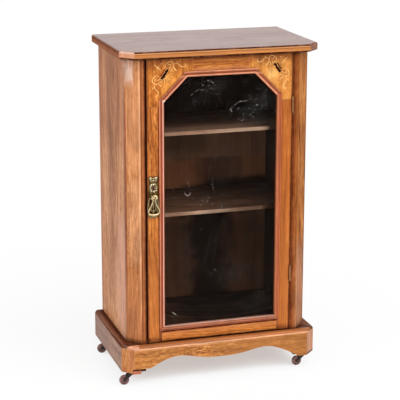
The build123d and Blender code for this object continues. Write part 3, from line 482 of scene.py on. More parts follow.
            stain((176, 112, 74), 0.7, (30, 0, 4), x=(-260, 20), z=(420, 556)),
            stain((96, 52, 38), 0.75, (60, 0, 6), x=(70, 120), z=(460, 558)),
            stain((170, 110, 74), 0.7, (20, 0, 10), x=(180, 260), z=(500, 556)),
            stain((70, 40, 26), 0.6, 60, z=(130, 360)),
            stain((190, 130, 60), 0.9, 1, x=(4.5, 8.5), z=(211.5, 215.5)),
            stain((48, 28, 20), 0.95, (60, 0, 20), x=(34, 100), z=(130, 470)),
            stain((40, 22, 16), 0.8, 20, x=(0, 260), z=(400, 465)),
            stain((44, 24, 18), 0.8, 16, x=(60, 260), z=(455, 488)),
        )),
    "insideWood": dict(
        grain="Z", face="Y", centre=(0.04, 0.16, 0.5), heart=(0.02, 0.08), gloss=0.6, edge=0.1, dirtAndShade=0.6,
        dark=(34, 19, 12), middle=(72, 46, 34), light=(108, 74, 56),
        stains=(  # the torn wood of the broken foot, painted shade over the middle of the bottom board
            stain((196, 112, 84), 0.9, 2, x=(-262, -234), y=(-180, -150), z=(30, 55)),
            stain((34, 24, 20), 0.85, 50, x=(-40, 160), y=(-110, 170), z=(117, 140)),
        )),
    "seatWalnut": dict(
        grain="Z", face="Y", centre=(-0.19, -0.15, 0.56), sheen=0.4, gloss=0.3, edge=0.0, dirtAndShade=0.8,
        dirtAndShadeReach=0.004, dark=(92, 46, 30), middle=(152, 96, 70), light=(190, 132, 100),
    ),
    "shelfWood": dict(
        grain="X", face="Z", centre=(0.04, 0.0, 0.7), heart=(0.02, 0.08), gloss=0.55, edge=0.5, dirtAndShade=0.6,
        dark=(76, 48, 36), middle=(130, 90, 68), light=(164, 120, 96),
        stains=(  # pale front edges, worn and with painted highlights in their middles and painted shadow at the right, a painted sheen behind them, painted shade at the backs
            stain((196, 146, 120), 1.0, 6, x=(-260, 138), y=(-120, -96.8)),
            stain((246, 204, 178), 0.9, (60, 0, 0), x=(30, 132), y=(-120, -96.8), z=(690, 710)),
            *stripes("x", y=(-120, -96.8), z=(460, 480), rows=(
                ((246, 204, 178), 0.7, (60, 0, 0), -50, 20), ((150, 110, 92), 0.6, 50, -260, -100),
            )),
            stain((70, 34, 24), 0.9, 12, x=(160, 260), y=(-120, -96.8)),
            stain((178, 138, 118), 0.55, (60, 50, 0), x=(-140, 100), y=(-94, -60), z=(690, 710)),
            stain((64, 40, 30), 0.6, 80, x=(50, 260), y=(-90, 170), z=(460, 480)),
            stain((60, 38, 30), 0.6, 80, y=(20, 170)),
        )),
}
glazing = [name for name in nodes if name.startswith("glazing_moulding")]
wornBy = {
    "topWalnut": ["top_board"], "sideWalnut": ["left_side", "right_side"],
    "postWalnut": ["left_corner_post", "plinth_cant_left"],
    "rightPostWalnut": ["right_corner_post", "hanging_bead", "plinth_cant_right"],
    "doorWalnut": ["lock_stile", "hinge_stile", "corner_fillets"],
    "railWalnut": ["door_top_rail", "door_bottom_rail"],
    "baseWalnut": ["base_moulding_front", "base_moulding_cants"], "plinthWalnut": ["plinth_front"],
    "plinthSide": ["plinth_left", "plinth_right", "plinth_back"],
    "sideMoulding": ["base_moulding_left", "base_moulding_right"], "mouldingWalnut": glazing,
    "cornerVeneer": ["left_spandrel", "right_spandrel"], "backWalnut": ["back_boards"],
    "insideWood": ["bottom_board", "top_front_rail", "top_back_rail", "shelf_bearers", "corner_blocks",
                   "glazing_beads"],
    "shelfWood": ["upper_shelf", "lower_shelf"],
}
wood = {name: woodMaterial(name, **changes) for name, changes in woods.items()}
for name, names in wornBy.items():
    dress(wood[name], *names)
print("woods made")


metalValues = {
    # brass: tarnish in the hollows, metal, and where hands have rubbed it bright; from where to where slow
    # noise turns tarnish to metal, and how clean the tarnished places are
    "agedBrass": ((44, 34, 14), (138, 118, 64), (255, 244, 208), (0.38, 0.58, 0.45)),
    "rubbedBrass": ((64, 46, 20), (216, 188, 136), (255, 246, 220), (0.38, 0.58, 0.45)),
    "mottledBrass": ((96, 76, 38), (226, 200, 152), (255, 250, 232), (0.46, 0.54, 0.0)),
    "dullBrass": ((48, 30, 16), (112, 74, 42), (176, 126, 82), (0.38, 0.58, 0.45)),
    # iron and steel: dark and bright places, and the roughness
    "darkIron": ((30, 26, 24), (72, 66, 60), 0.5),
    "dullSteel": ((70, 62, 54), (132, 124, 114), 0.45),
    "brownGlaze": ((84, 48, 44), (142, 98, 92)),
}


def brassMaterial(name):
    tarnish, metal, rubbed, (low, high, least) = metalValues[name]
    material, tree = newMaterial(name)
    cloud = noise(tree, objectPlace(tree), 260.0, 4.0, 0.6)
    clean = spread(tree, openShare(tree, 0.006, 8), 0.45, 0.95)
    clean = calc(tree, "MULTIPLY", clean, spread(tree, cloud, low, high, least, 1.0))
    ridge = addNode(tree, "ShaderNodeNewGeometry").outputs["Pointiness"]
    worn = calc(tree, "MULTIPLY", spread(tree, ridge, 0.52, 0.60), clean)
    colour = mixColour(tree, clean, paint(*tarnish), paint(*metal))
    colour = mixColour(tree, worn, colour, paint(*rubbed))
    bump = addNode(tree, "ShaderNodeBump", {"Strength": 0.3, "Distance": 0.0003, "Height": cloud})
    finishMaterial(tree, {
        "Base Color": colour, "Roughness": spread(tree, clean, 0, 1, 0.6, 0.26), "Metallic": 1.0,
        "Normal": bump.outputs[0],
    })
    return material


def ironMaterial(name):
    dark, bright, roughness = metalValues[name]
    material, tree = newMaterial(name)
    cloud = noise(tree, objectPlace(tree), 240.0, 5.0, 0.65)
    colour = mixColour(tree, spread(tree, cloud, 0.35, 0.65), paint(*dark), paint(*bright))
    bump = addNode(tree, "ShaderNodeBump", {"Strength": 0.4, "Distance": 0.0004, "Height": cloud})
    finishMaterial(tree, {
        "Base Color": colour, "Roughness": spread(tree, cloud, 0.3, 0.7, roughness - 0.1, roughness + 0.1),
        "Metallic": 0.8, "Normal": bump.outputs[0],
    })
    return material


def wheelMaterial(name):
    dark, bright = metalValues[name]
    material, tree = newMaterial(name)
    cloud = noise(tree, objectPlace(tree), 160.0, 4.0, 0.6)
    colour = mixColour(tree, spread(tree, cloud, 0.35, 0.65), paint(*dark), paint(*bright))
    finishMaterial(tree, {"Base Color": colour, "Roughness": spread(tree, cloud, 0.3, 0.7, 0.22, 0.42)})
    return material


glassValues = {
    "gloss": 1.09, "clear": (0.88, 0.88, 0.86), "polish": 0.04, "dust": (0.62, 0.60, 0.57), "specks": 0.30,
    # greasy smears: middle on X and Z, half sizes, all in millimetres, turn in degrees, strength
    "smears": (
        (-8, 832, 46, 26, 24, 0.5), (102, 768, 62, 36, 38, 0.62), (94, 726, 70, 18, 4, 0.4),
        (-62, 800, 50, 14, 36, 0.3), (-52, 520, 30, 18, 10, 0.36), (8, 498, 46, 14, 20, 0.42),
        (34, 300, 75, 50, 24, 0.3), (155, 640, 30, 70, 8, 0.2), (10, 620, 50, 90, 4, 0.16),
        (110, 200, 60, 30, 15, 0.3), (140, 800, 40, 60, 30, 0.16), (-100, 350, 50, 140, 0, 0.12),
        (-32, 382, 80, 7, 75, 0.4), (-12, 385, 75, 6, 78, 0.3),
    ),
    # rings left by a wet thumb, the lower part of an ellipse, and scratches: as the smears
    "rings": ((-93, 541, 7.5, 8, 0, 0.24),),
    "scratches": (
        (-132, 196, 10.5, 0.8, -34, 0.55), (-137, 186, 4, 0.7, -30, 0.3), (-20, 560, 0.8, 30, 4, 0.07),
        (-30, 600, 0.7, 40, -8, 0.06), (-90, 562, 0.9, 14, 14, 0.1), (115, 260, 0.7, 50, 4, 0.06),
    ),
    # strokes of a dirty cloth: from one point to another on X and Z in millimetres, then strength
    "strokeWide": 1.0,
    "strokes": (
        (-86, 808, -75, 819, 0.26), (-75, 819, -60, 826, 0.3), (-60, 824, -44, 825, 0.38),
        (-48, 844, -41, 849, 0.38), (-41, 849, -27, 849, 0.49), (-27, 849, -19, 839, 0.38),
        (-53, 835, -46, 839, 0.3), (-38, 833, -30, 836, 0.34), (-42, 820, -36, 822, 0.22),
        (25, 762, 36, 773, 0.56), (36, 773, 50, 784, 0.45), (50, 784, 63, 790, 0.52),
        (63, 786, 79, 789, 0.45), (30, 765, 35, 757, 0.52), (47, 765, 56, 769, 0.34),
        (27, 755, 30, 749, 0.3), (80, 804, 83, 801, 0.38), (64, 753, 67, 750, 0.38),
        (69, 743, 71, 734, 0.3), (84, 747, 88, 744, 0.26), (16, 746, 22, 739, 0.19),
        (51, 741, 56, 732, 0.19), (110, 838, 134, 814, 0.11), (87, 890, 91, 887, 0.22),
        (-69, 332, -60, 340, 0.15), (-16, 319, -11, 309, 0.22), (4, 334, 7, 328, 0.19),
        (-27, 308, -22, 297, 0.22), (34, 302, 37, 293, 0.15), (-43, 508, -32, 515, 0.26),
        (-26, 503, -17, 505, 0.3), (-61, 501, -49, 506, 0.19),
    ),
}


def glassMaterial():
    v = glassValues
    material, tree = newMaterial("oldGlass")
    place = objectPlace(tree)

    def cloud(scale, detail, roughness, *cut):
        return spread(tree, noise(tree, place, scale, detail, roughness), *cut)

    grains = calc(tree, "MULTIPLY", cloud(250.0, 3.0, 0.8, 0.61, 0.66), cloud(120.0, 2.0, 0.6, 0.46, 0.56))
    grains = calc(tree, "ADD", grains, 0.008)
    crumbs = cloud(270.0, 2.0, 0.7, 0.46, 0.54, 0.08, 1.0)
    wobble = noise(tree, place, 320.0, 2.0, 0.6)
    # film is the share of dust over the pane
    film = calc(tree, "MULTIPLY", cloud(250.0, 1.0, 0.5, 0.72, 0.76), v["specks"])

    def ellipse(x, z, halfX, halfZ, turnBy):
        # distance from its middle, 1 on its rim
        inFrame = addNode(tree, "ShaderNodeMapping", {
            "Vector": place, "Location": (x / 1000, 0, z / 1000), "Rotation": (0, math.radians(-turnBy), 0),
            "Scale": (halfX / 1000, 1.0, halfZ / 1000),
        }, vector_type="TEXTURE").outputs[0]
        flat = vectorCalc(tree, "MULTIPLY", inFrame, (1, 0, 1))
        return inFrame, vectorCalc(tree, "LENGTH", flat, output="Value")

    for *shape, strength in v["smears"]:
        _, away = ellipse(*shape)
        film = calc(tree, "MULTIPLY_ADD", spread(tree, away, 1.0, 0.25, 0.0, strength), grains, film)
    for *shape, strength in v["rings"]:
        inFrame, away = ellipse(*shape)
        off = calc(tree, "ABSOLUTE", calc(tree, "SUBTRACT", away, 1.0))
        rim = spread(tree, off, 0.16, 0.04, 0.0, strength)
        low = spread(tree, axesOf(tree, inFrame)["Z"], 0.3, -0.3)
        film = calc(tree, "ADD", film, calc(tree, "MULTIPLY", rim, low))
    for *shape, strength in v["scratches"]:
        _, away = ellipse(*shape)
        film = calc(tree, "ADD", film, spread(tree, away, 1.0, 0.5, 0.0, strength))
    for x, z, endX, endZ, strength in v["strokes"]:
        half = math.hypot(endX - x, endZ - z) / 2
        slope = math.degrees(math.atan2(endZ - z, endX - x))
        _, away = ellipse((x + endX) / 2, (z + endZ) / 2, half, v["strokeWide"], slope)
        ragged = calc(tree, "MULTIPLY_ADD", wobble, 1.4, calc(tree, "SUBTRACT", away, 0.7))
        film = calc(tree, "MULTIPLY_ADD", spread(tree, ragged, 1.05, 0.5, 0.0, strength * 0.85), crumbs, film)
    film = calc(tree, "MULTIPLY", film, 1.0, clamp=True)
    clear = addNode(tree, "ShaderNodeBsdfTransparent", {"Color": (*v["clear"], 1)})
    shine = addNode(tree, "ShaderNodeBsdfGlossy", {"Color": (1, 1, 1, 1), "Roughness": v["polish"]})
    facing = addNode(tree, "ShaderNodeFresnel", {"IOR": v["gloss"]}).outputs[0]
    dust = addNode(tree, "ShaderNodeBsdfDiffuse", {"Color": (*v["dust"], 1)})
    whole = mixShader(tree, film, mixShader(tree, facing, clear, shine), dust)
    addNode(tree, "ShaderNodeOutputMaterial", {0: whole.outputs[0]})
    return material


brass, brightBrass, mottledBrass = (
    brassMaterial(name) for name in ("agedBrass", "rubbedBrass", "mottledBrass"))
iron, steel = (ironMaterial(name) for name in ("darkIron", "dullSteel"))
dress(brass, "strike_plate", "frame_brass_screws", "door_brass_screws", "lock_case", "lock_bolt",
      "handle_plate", "handle_drop")
dress(brassMaterial("dullBrass"), "frame_hinge_leaves", "door_hinge_leaves", "hinge_pins")
dress(steel, "steel_screws", "back_nails")
dress(iron, "caster_sockets", *[name for name in nodes if name.startswith("caster_horn")])
dress(wheelMaterial("brownGlaze"), *[name for name in nodes if name.startswith("caster_wheel")])
dress(glassMaterial(), "glass_pane")
print("metals and glass made")


# Mesh helpers: each shape is an array of points. A row is one step along it, a column one step round it.

def facesInwards(points, triangles):
    # the volume that the triangles enclose comes out negative where they point inwards
    first, second, third = (points[triangles[:, corner]] for corner in range(3))
    return np.einsum("ij,ij->", first, np.cross(second, third)) < 0


def gridShell(grid, wrapRows=False):
    # quads join neighbouring points; columns always close round, and a fan to its middle closes an open end
    rows, columns = grid.shape[:2]
    i, j = np.meshgrid(np.arange(rows if wrapRows else rows - 1), np.arange(columns), indexing="ij")
    below, beside = (i + 1) % rows, (j + 1) % columns
    corners = (i * columns + j, below * columns + j, below * columns + beside, i * columns + beside)
    quads = np.stack(corners, -1).reshape(-1, 4)
    points = grid.reshape(-1, 3)
    fans = np.zeros((0, 3), int)
    if not wrapRows:
        points = np.vstack([points, grid[0].mean(0), grid[-1].mean(0)])
        k = np.arange(columns)
        n = (k + 1) % columns
        hub = np.full(columns, rows * columns)
        last = (rows - 1) * columns
        fans = np.vstack([np.stack([k, n, hub], -1), np.stack([last + n, last + k, hub + 1], -1)])
    if facesInwards(points, np.vstack([quads[:, :3], quads[:, [0, 2, 3]], fans])):
        quads, fans = quads[:, ::-1], fans[:, ::-1]
    return points, quads.tolist() + fans.tolist()


def smoothPath(points, steps=8):
    # between two given points the place is a cubic that leaves each along the line joining its neighbours
    p = np.asarray(points, float)
    longer = np.vstack([2 * p[0] - p[1], p, 2 * p[-1] - p[-2]])[:, None, :]
    before, start, end, after = longer[:-3], longer[1:-2], longer[2:-1], longer[3:]
    t = np.linspace(0, 1, steps, endpoint=False)[None, :, None]
    curve = 0.5 * (2 * start + (end - before) * t + (2 * before - 5 * start + 4 * end - after) * t ** 2
                   + (3 * start - before - 3 * end + after) * t ** 3)
    return np.vstack([curve.reshape(-1, p.shape[1]), p[-1]])


def roundProfile(across, out, steps=12, square=2.0):
    # a ring of points on an ellipse, or a squarer one, across and outwards
    turn = np.linspace(0, 2 * np.pi, steps, endpoint=False)
    waves = np.stack([np.cos(turn), np.sin(turn)], -1)
    return np.sign(waves) * np.abs(waves) ** (2 / square) * (across, out)


def carried(path, profile, widths=1.0, closed=False, heights=None):
    # the profile stands square to the path at each step, its second axis towards the front, scaled there
    path = np.asarray(path, float)
    ahead = np.roll(path, -1, 0) - np.roll(path, 1, 0) if closed else np.gradient(path, axis=0)
    ahead /= np.linalg.norm(ahead, axis=1, keepdims=True)
    across = np.cross(ahead, (0.0, -1.0, 0.0))
    across /= np.linalg.norm(across, axis=1, keepdims=True)
    out = np.cross(across, ahead)
    widths = np.broadcast_to(widths, len(path))[:, None, None]
    heights = widths if heights is None else np.broadcast_to(heights, len(path))[:, None, None]
    grid = path[:, None, :] + widths * profile[None, :, :1] * across[:, None, :]
    return gridShell(grid + heights * profile[None, :, 1:] * out[:, None, :], wrapRows=closed)


def turned(profile, centre, axis="Y", steps=32):
    # the profile holds radius and distance along the axis; each row is that circle
    profile = np.asarray(profile, float)
    turn = np.linspace(0, 2 * np.pi, steps, endpoint=False)
    radius, along = profile[:, :1], np.repeat(profile[:, 1:], steps, 1)
    near, up = radius * np.cos(turn), radius * np.sin(turn)
    parts = (near, along, up) if axis == "Y" else (along, near, up)
    return gridShell(np.stack(parts, -1) + np.asarray(centre, float))


def domeProfile(radius, height, steps=8):
    # radius and distance of a flattened half ball that bulges towards the front, with its rim sunk a little
    turn = np.linspace(0.02, np.pi / 2, steps)
    return np.vstack([np.stack([radius * np.sin(turn), -height * np.cos(turn)], -1), [radius, height * 0.3]])


def addPiece(name, shells, material, body, replaced=(), flat=False):
    # shells are pairs of points and faces; their lengths are in millimetres
    starts = np.cumsum([0] + [len(points) for points, _ in shells])
    points = np.vstack([points for points, _ in shells]) * 0.001
    faces = [[corner + int(start) for corner in face]
             for start, (_, group) in zip(starts, shells) for face in group]
    mesh = bpy.data.meshes.new(name)
    mesh.from_pydata(points.tolist(), [], faces)
    mesh.polygons.foreach_set("use_smooth", [not flat] * len(mesh.polygons))
    mesh.materials.append(material)
    piece = bpy.data.objects.new(name, mesh)
    bpy.context.scene.collection.objects.link(piece)
    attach(piece, body)
    if replaced:
        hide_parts(*replaced)
    return piece


# Handle: a pierced plate with a winged crest, a ring round the keyhole and two curved side straps, and a drop
# that hangs from a knuckle. Lengths are in millimetres, across and up from the drop's pivot.

handleValues = {
    "centre": (-192.5, -149.5), "pivotHeight": 541.0, "pivotOut": 9.0,  # X and Y of the door's face there
    "plateThick": 1.8,
    "plateHeights": (-9, -5, 0, 5, 9, 12, 17, 23, 29, 34, 37.5, 40, 44, 48, 51.5, 53.5),
    "plateHalfWidths": (5.5, 8.5, 9.5, 8.6, 9.0, 11, 13.2, 13.7, 12.4, 9.5, 7.6, 8.0, 10.5, 12.8, 13.6, 12.8),
    "crestFoot": 44, "crestRise": 9.5, "crestHalf": 13.6, "crestDip": 3.2, "crestSwell": 1.2, "crestOut": 1.4,
    "scrollPlace": (8.0, 47.2), "scrollRadius": 5.0, "scrollTurns": 1.55,
    "crestWave": ((2.2, 41), (5.2, 42.6), (8.4, 41.4), (10.6, 43.6)),
    "crestBeads": ((43.4, 2.6, 2.6), (48.4, 1.5, 1.6)),  # height, radius and bulge
    "ringHeight": 24.0, "ringRadius": 9.0, "ringTaller": 1.2, "ringThick": 1.8, "ringDeep": 2.2,
    "ringBeads": ((0.4, 31.4, 3.2), (-6.2, 14.0, 2.6), (7.2, 15.4, 2.2), (-9.0, 27.5, 1.8), (9.2, 28.0, 1.7)),
    "innerRing": ((-5.2, 18.5), (-6.3, 24), (-4.8, 29.3), (0, 31.2), (4.8, 29.3), (6.3, 24), (5.2, 18.5)),
    "keyRadius": 2.3, "keySlot": 5.5, "seatRadius": 7.9,
    "strap": ((-8.5, -5), (-12.2, -13), (-13.6, -24), (-13.7, -36), (-13.0, -47), (-11.0, -55), (-6.5, -58.6),
              (-2.0, -57.0)),
    "leaf": ((0.0, -9), (2.2, -17), (5.0, -24), (7.2, -31), (6.6, -38), (3.0, -42), (-0.6, -39.5)),
    "link": ((6.4, -37), (9.8, -40), (13.2, -39)),
    "stem": ((0, -8), (0, -22), (0, -36), (0, -50), (0, -56.5)),
    # the knobs at the foot: across, up, radius and bulge
    "knobs": ((12.6, -50.5, 2.3, 0.9), (-12.6, -50.5, 2.3, 0.9), (0, -56.8, 3.0, 1.2)),
    # the ears that hold the knuckle: radius and distance from their middle, and how far out that middle is
    "ear": ((0.2, -0.9), (4.0, -0.9), (4.5, -0.2), (4.5, 1.0), (3.9, 2.0), (2.4, 2.6), (0.2, 2.8)),
    "earOut": 6.2,
    "brow": (7.0, 2.8), "browHeight": 9.8, "browDeep": 1.6,  # low, clear of the drop's head as it swings
    "drop": ((-3.4, -5.0), (-4.0, -12), (-5.4, -20), (-9.0, -27.5), (-13.0, -34), (-15.4, -40.5),
             (-14.0, -46.8), (-8.6, -50.4), (0, -51.4)),
    "dropWide": 2.2, "dropDeep": 2.1, "dropOut": 7.6, "dropKnob": (12.4, -49.2, 2.5, 2.4),
    "eyeHalf": 5.0, "eyeRadius": 2.4, "eyeBulge": 2.1,
    "collar": ((-3.4, -6.4), (0, -7.6), (3.4, -6.4)),
    "headWide": 10.2, "headHigh": 9.0, "headDeep": 3.0, "headOut": 4.7, "headDrop": 3.0, "headTaper": 0.30,
}
toLeft = np.array((-1, 1))


def onHandle(flat, out):
    # a path of the handle's own drawing, set out from the door's face
    x0, y0 = handleValues["centre"]
    z0 = handleValues["pivotHeight"]
    flat = np.asarray(flat, float)
    return np.stack([x0 + flat[:, 0], np.full(len(flat), y0 - out), z0 + flat[:, 1]], -1)


def bead(across, up, radius, bulge, out):
    # a flattened half ball on the handle
    return turned(domeProfile(radius, bulge), onHandle([(across, up)], out)[0])


def plateShell():
    # an upright path with a pillow section as wide as the outline there; the crest's middle dips and
    # its tips stand out
    v = handleValues
    heights = np.linspace(v["plateHeights"][0], v["plateHeights"][-1], 72)
    widths = np.interp(heights, v["plateHeights"], v["plateHalfWidths"])
    widths = np.convolve(np.pad(widths, 2, "edge"), np.ones(5) / 5, "valid")
    path = onHandle(np.stack([0 * heights, heights], -1), 0.0)
    points, faces = carried(path, roundProfile(1.0, v["plateThick"], 40, 3.2), widths=widths, heights=1.0)
    rise = np.clip((points[:, 2] - v["pivotHeight"] - v["crestFoot"]) / v["crestRise"], 0, 1)
    side = np.clip(np.abs(points[:, 0] - v["centre"][0]) / v["crestHalf"], 0, 1)
    points[:, 2] -= rise * v["crestDip"] * (1 - side ** 1.5) - rise * v["crestSwell"] * np.sin(np.pi * side)
    points[:, 1] -= rise * side ** 3 * v["crestOut"]
    return points, faces


def handleShells():
    # what stays in tarnished brass, and what hands have rubbed bright
    v = handleValues
    thick = v["plateThick"]
    shells, bright = [plateShell()], []
    # crest scrolls: a spiral whose radius falls from one turn to the next
    turn = np.linspace(0, 2 * v["scrollTurns"] * np.pi, 70)
    radius = v["scrollRadius"] * np.exp(-turn / 6.0)
    for side in (1, -1):
        mirror = np.array((side, 1))
        curl = np.stack([-radius * np.cos(turn + 0.4), radius * np.sin(turn + 0.4)], -1)
        scroll = onHandle((np.array(v["scrollPlace"]) + curl) * mirror, thick * 0.8)
        bright.append(carried(scroll, roundProfile(1.15, 1.25), widths=1.15 - turn / 16))
        wave = onHandle(smoothPath(v["crestWave"] * mirror, 6), thick * 0.8)
        shells.append(carried(wave, roundProfile(1.0, 1.1), widths=np.linspace(1.2, 0.5, len(wave))))
    bright += [bead(0, up, size, bulge, thick) for up, size, bulge in v["crestBeads"]]
    # the ring round the keyhole, thicker at its left and waved, with its beads, and a thin line inside it
    turn = np.linspace(0, 2 * np.pi, 64, endpoint=False)
    tall = v["ringRadius"] + v["ringTaller"]
    ring = np.stack([v["ringRadius"] * np.cos(turn), v["ringHeight"] + tall * np.sin(turn)], -1)
    swell = 1.0 + 0.28 * np.cos(turn - 2.9) + 0.14 * np.cos(5 * turn)
    section = roundProfile(v["ringThick"], v["ringDeep"])
    bright.append(carried(onHandle(ring, thick + 0.3), section, widths=swell, closed=True))
    bright += [bead(x, up, size, size * 0.9, thick + 1.4) for x, up, size in v["ringBeads"]]
    shells.append(carried(onHandle(smoothPath(v["innerRing"], 6), thick), roundProfile(1.1, 1.2)))
    # straps, leaves and stem of the pierced lower half, with knobs, and the ears
    pivot = onHandle([(0, 0)], v["pivotOut"])[0]
    for side in (1, -1):
        mirror = np.array((side, 1))
        strap = onHandle(smoothPath(v["strap"] * mirror), thick * 0.5)
        share = np.linspace(0, 1, len(strap))
        width = 1.9 + 0.9 * np.sin(np.pi * share) + 0.3 * np.cos(14 * share)
        shells.append(carried(strap, roundProfile(1.0, thick * 0.62, 12, 2.6), widths=width, heights=1.0))
        leaf = onHandle(smoothPath(v["leaf"] * mirror), thick * 0.5)
        width = 0.7 + 1.3 * np.sin(np.pi * np.linspace(0, 1, len(leaf)))
        shells.append(carried(leaf, roundProfile(1.0, thick * 0.55), widths=width, heights=1.0))
        link = onHandle(smoothPath(v["link"] * mirror, 6), thick * 0.4)
        shells.append(carried(link, roundProfile(1.2, 0.8)))
        ear = [(radius, side * (along + v["earOut"])) for radius, along in v["ear"]]
        shells.append(turned(ear, pivot, axis="X"))
    stem = onHandle(smoothPath(v["stem"]), thick * 0.5)
    width = 1.3 + 0.8 * np.cos(9 * np.linspace(0, 1, len(stem))) ** 2
    shells.append(carried(stem, roundProfile(1.0, thick * 0.6), widths=width, heights=1.0))
    shells += [bead(*knob, thick * 0.6) for knob in v["knobs"]]
    points, faces = turned(domeProfile(1.0, v["browDeep"], 10), (0, 0, 0), steps=48)
    wide, high = v["brow"]
    bright.append((points * (wide, 1.0, high) + onHandle([(0, v["browHeight"])], thick * 0.8)[0], faces))
    return shells, bright


def keySeatShells():
    # the pierced round inside the ring, where the brown wood shows
    v = handleValues
    front = -(v["plateThick"] + 0.05)
    rim = [(v["seatRadius"], front + 0.6), (v["seatRadius"], front), (4.0, front - 0.05), (0.2, front - 0.05)]
    return [turned(rim, onHandle([(0, v["ringHeight"])], 0)[0])]


def keyholeShells():
    # a dark sheet painted as the shade of the opening: a round eye over a slot that widens downwards
    v = handleValues
    turn = np.linspace(0, 2 * np.pi, 32, endpoint=False)
    flat = np.stack([v["keyRadius"] * np.cos(turn), v["keyRadius"] * np.sin(turn)], -1)
    low = flat[:, 1] < -0.4 * v["keyRadius"]
    flat[low, 1] -= v["keySlot"]
    flat[low, 0] *= 0.75
    rows = [onHandle(share * flat + (0, v["ringHeight"]), v["plateThick"] + out)
            for share, out in ((0.98, -0.6), (1.0, 0.12), (0.9, 0.16), (0.05, 0.16))]
    return [gridShell(np.stack(rows))]


def dropShells():
    # a bent wire from the knuckle's eye down, its lowest part thicker, with a collar and two knobs
    v = handleValues
    half = smoothPath(v["drop"])
    loop = np.vstack([half, half[-2::-1] * toLeft])
    swing = np.clip(-loop[:, 1] / 49, 0, 1)
    path = onHandle(loop, v["pivotOut"] - swing * (v["pivotOut"] - v["dropOut"]) * 0.8)
    bar = np.clip((-loop[:, 1] - 45) / 4, 0, 1)
    section = roundProfile(v["dropWide"], v["dropDeep"], 14, 2.3)
    shells = [carried(path, section, widths=0.86 + 0.22 * bar, heights=1.0)]
    pivot = onHandle([(0, 0)], v["pivotOut"])[0]
    turn = np.linspace(0.05, np.pi - 0.05, 17)
    eye = np.stack([v["eyeRadius"] + v["eyeBulge"] * np.sin(turn) ** 0.7, -v["eyeHalf"] * np.cos(turn)], -1)
    eye = np.vstack([(0.2, -v["eyeHalf"]), eye, (0.2, v["eyeHalf"])])
    points, faces = turned(eye, pivot, axis="X", steps=40)
    spin = np.arctan2(points[:, 2] - pivot[2], points[:, 1] - pivot[1])
    flute = 1 + 0.035 * np.cos(10 * spin) * np.clip(1 - np.abs(points[:, 0] - pivot[0]) / v["eyeHalf"], 0, 1)
    points[:, 1:] = pivot[1:] + (points[:, 1:] - pivot[1:]) * flute[:, None]
    shells.append((points, faces))
    shells.append(carried(onHandle(smoothPath(v["collar"], 6), v["pivotOut"]), roundProfile(1.5, 2.0)))
    across, up, size, bulge = v["dropKnob"]
    return shells + [bead(side * across, up, size, bulge, v["dropOut"] + 0.6) for side in (1, -1)]


def headShells():
    # a fluted shell in front of the eye, narrower below; its back stays clear of the ears as it swings
    v = handleValues
    points, faces = turned(domeProfile(1.0, v["headDeep"], 14), (0, 0, 0), steps=60)
    spin = np.arctan2(points[:, 2], points[:, 0])
    far = np.clip(np.hypot(points[:, 0], points[:, 2]), 0, 1)
    points[:, 1] = np.minimum(points[:, 1], 0) - 0.4 * (1 + np.cos(9 * spin)) * far * (far < 0.97)
    narrow = 1 - v["headTaper"] * np.clip(-points[:, 2], 0, 1)
    points = points * (v["headWide"], 1.0, v["headHigh"]) * np.stack([narrow, narrow ** 0, narrow ** 0], -1)
    return [(points + onHandle([(0, -v["headDrop"])], v["pivotOut"] + v["headOut"])[0], faces)]


def makeHandle():
    # the keyhole's dark sheet: painted shade where the opening is
    keyholeShade, tree = newMaterial("keyholeShade")
    finishMaterial(tree, {"Base Color": paint(26, 16, 10), "Roughness": 0.8})
    shells, bright = handleShells()
    addPiece("keyRing", bright, mottledBrass, "door")
    addPiece("handlePlate", shells, brass, "door", replaced=["handle_plate"])
    addPiece("keySeat", keySeatShells(), wood["seatWalnut"], "door")
    addPiece("keyhole", keyholeShells(), keyholeShade, "door")
    addPiece("handleDrop", dropShells(), brightBrass, "handle_drop", replaced=["handle_drop"])
    addPiece("dropHead", headShells(), mottledBrass, "handle_drop")


makeHandle()
print("handle made")


# Inlay: the same arabesque on both corner panels. It is drawn round the middle of its double bar, across and
# up, and its two arms mirror each other about the diagonal through the panel's corner.

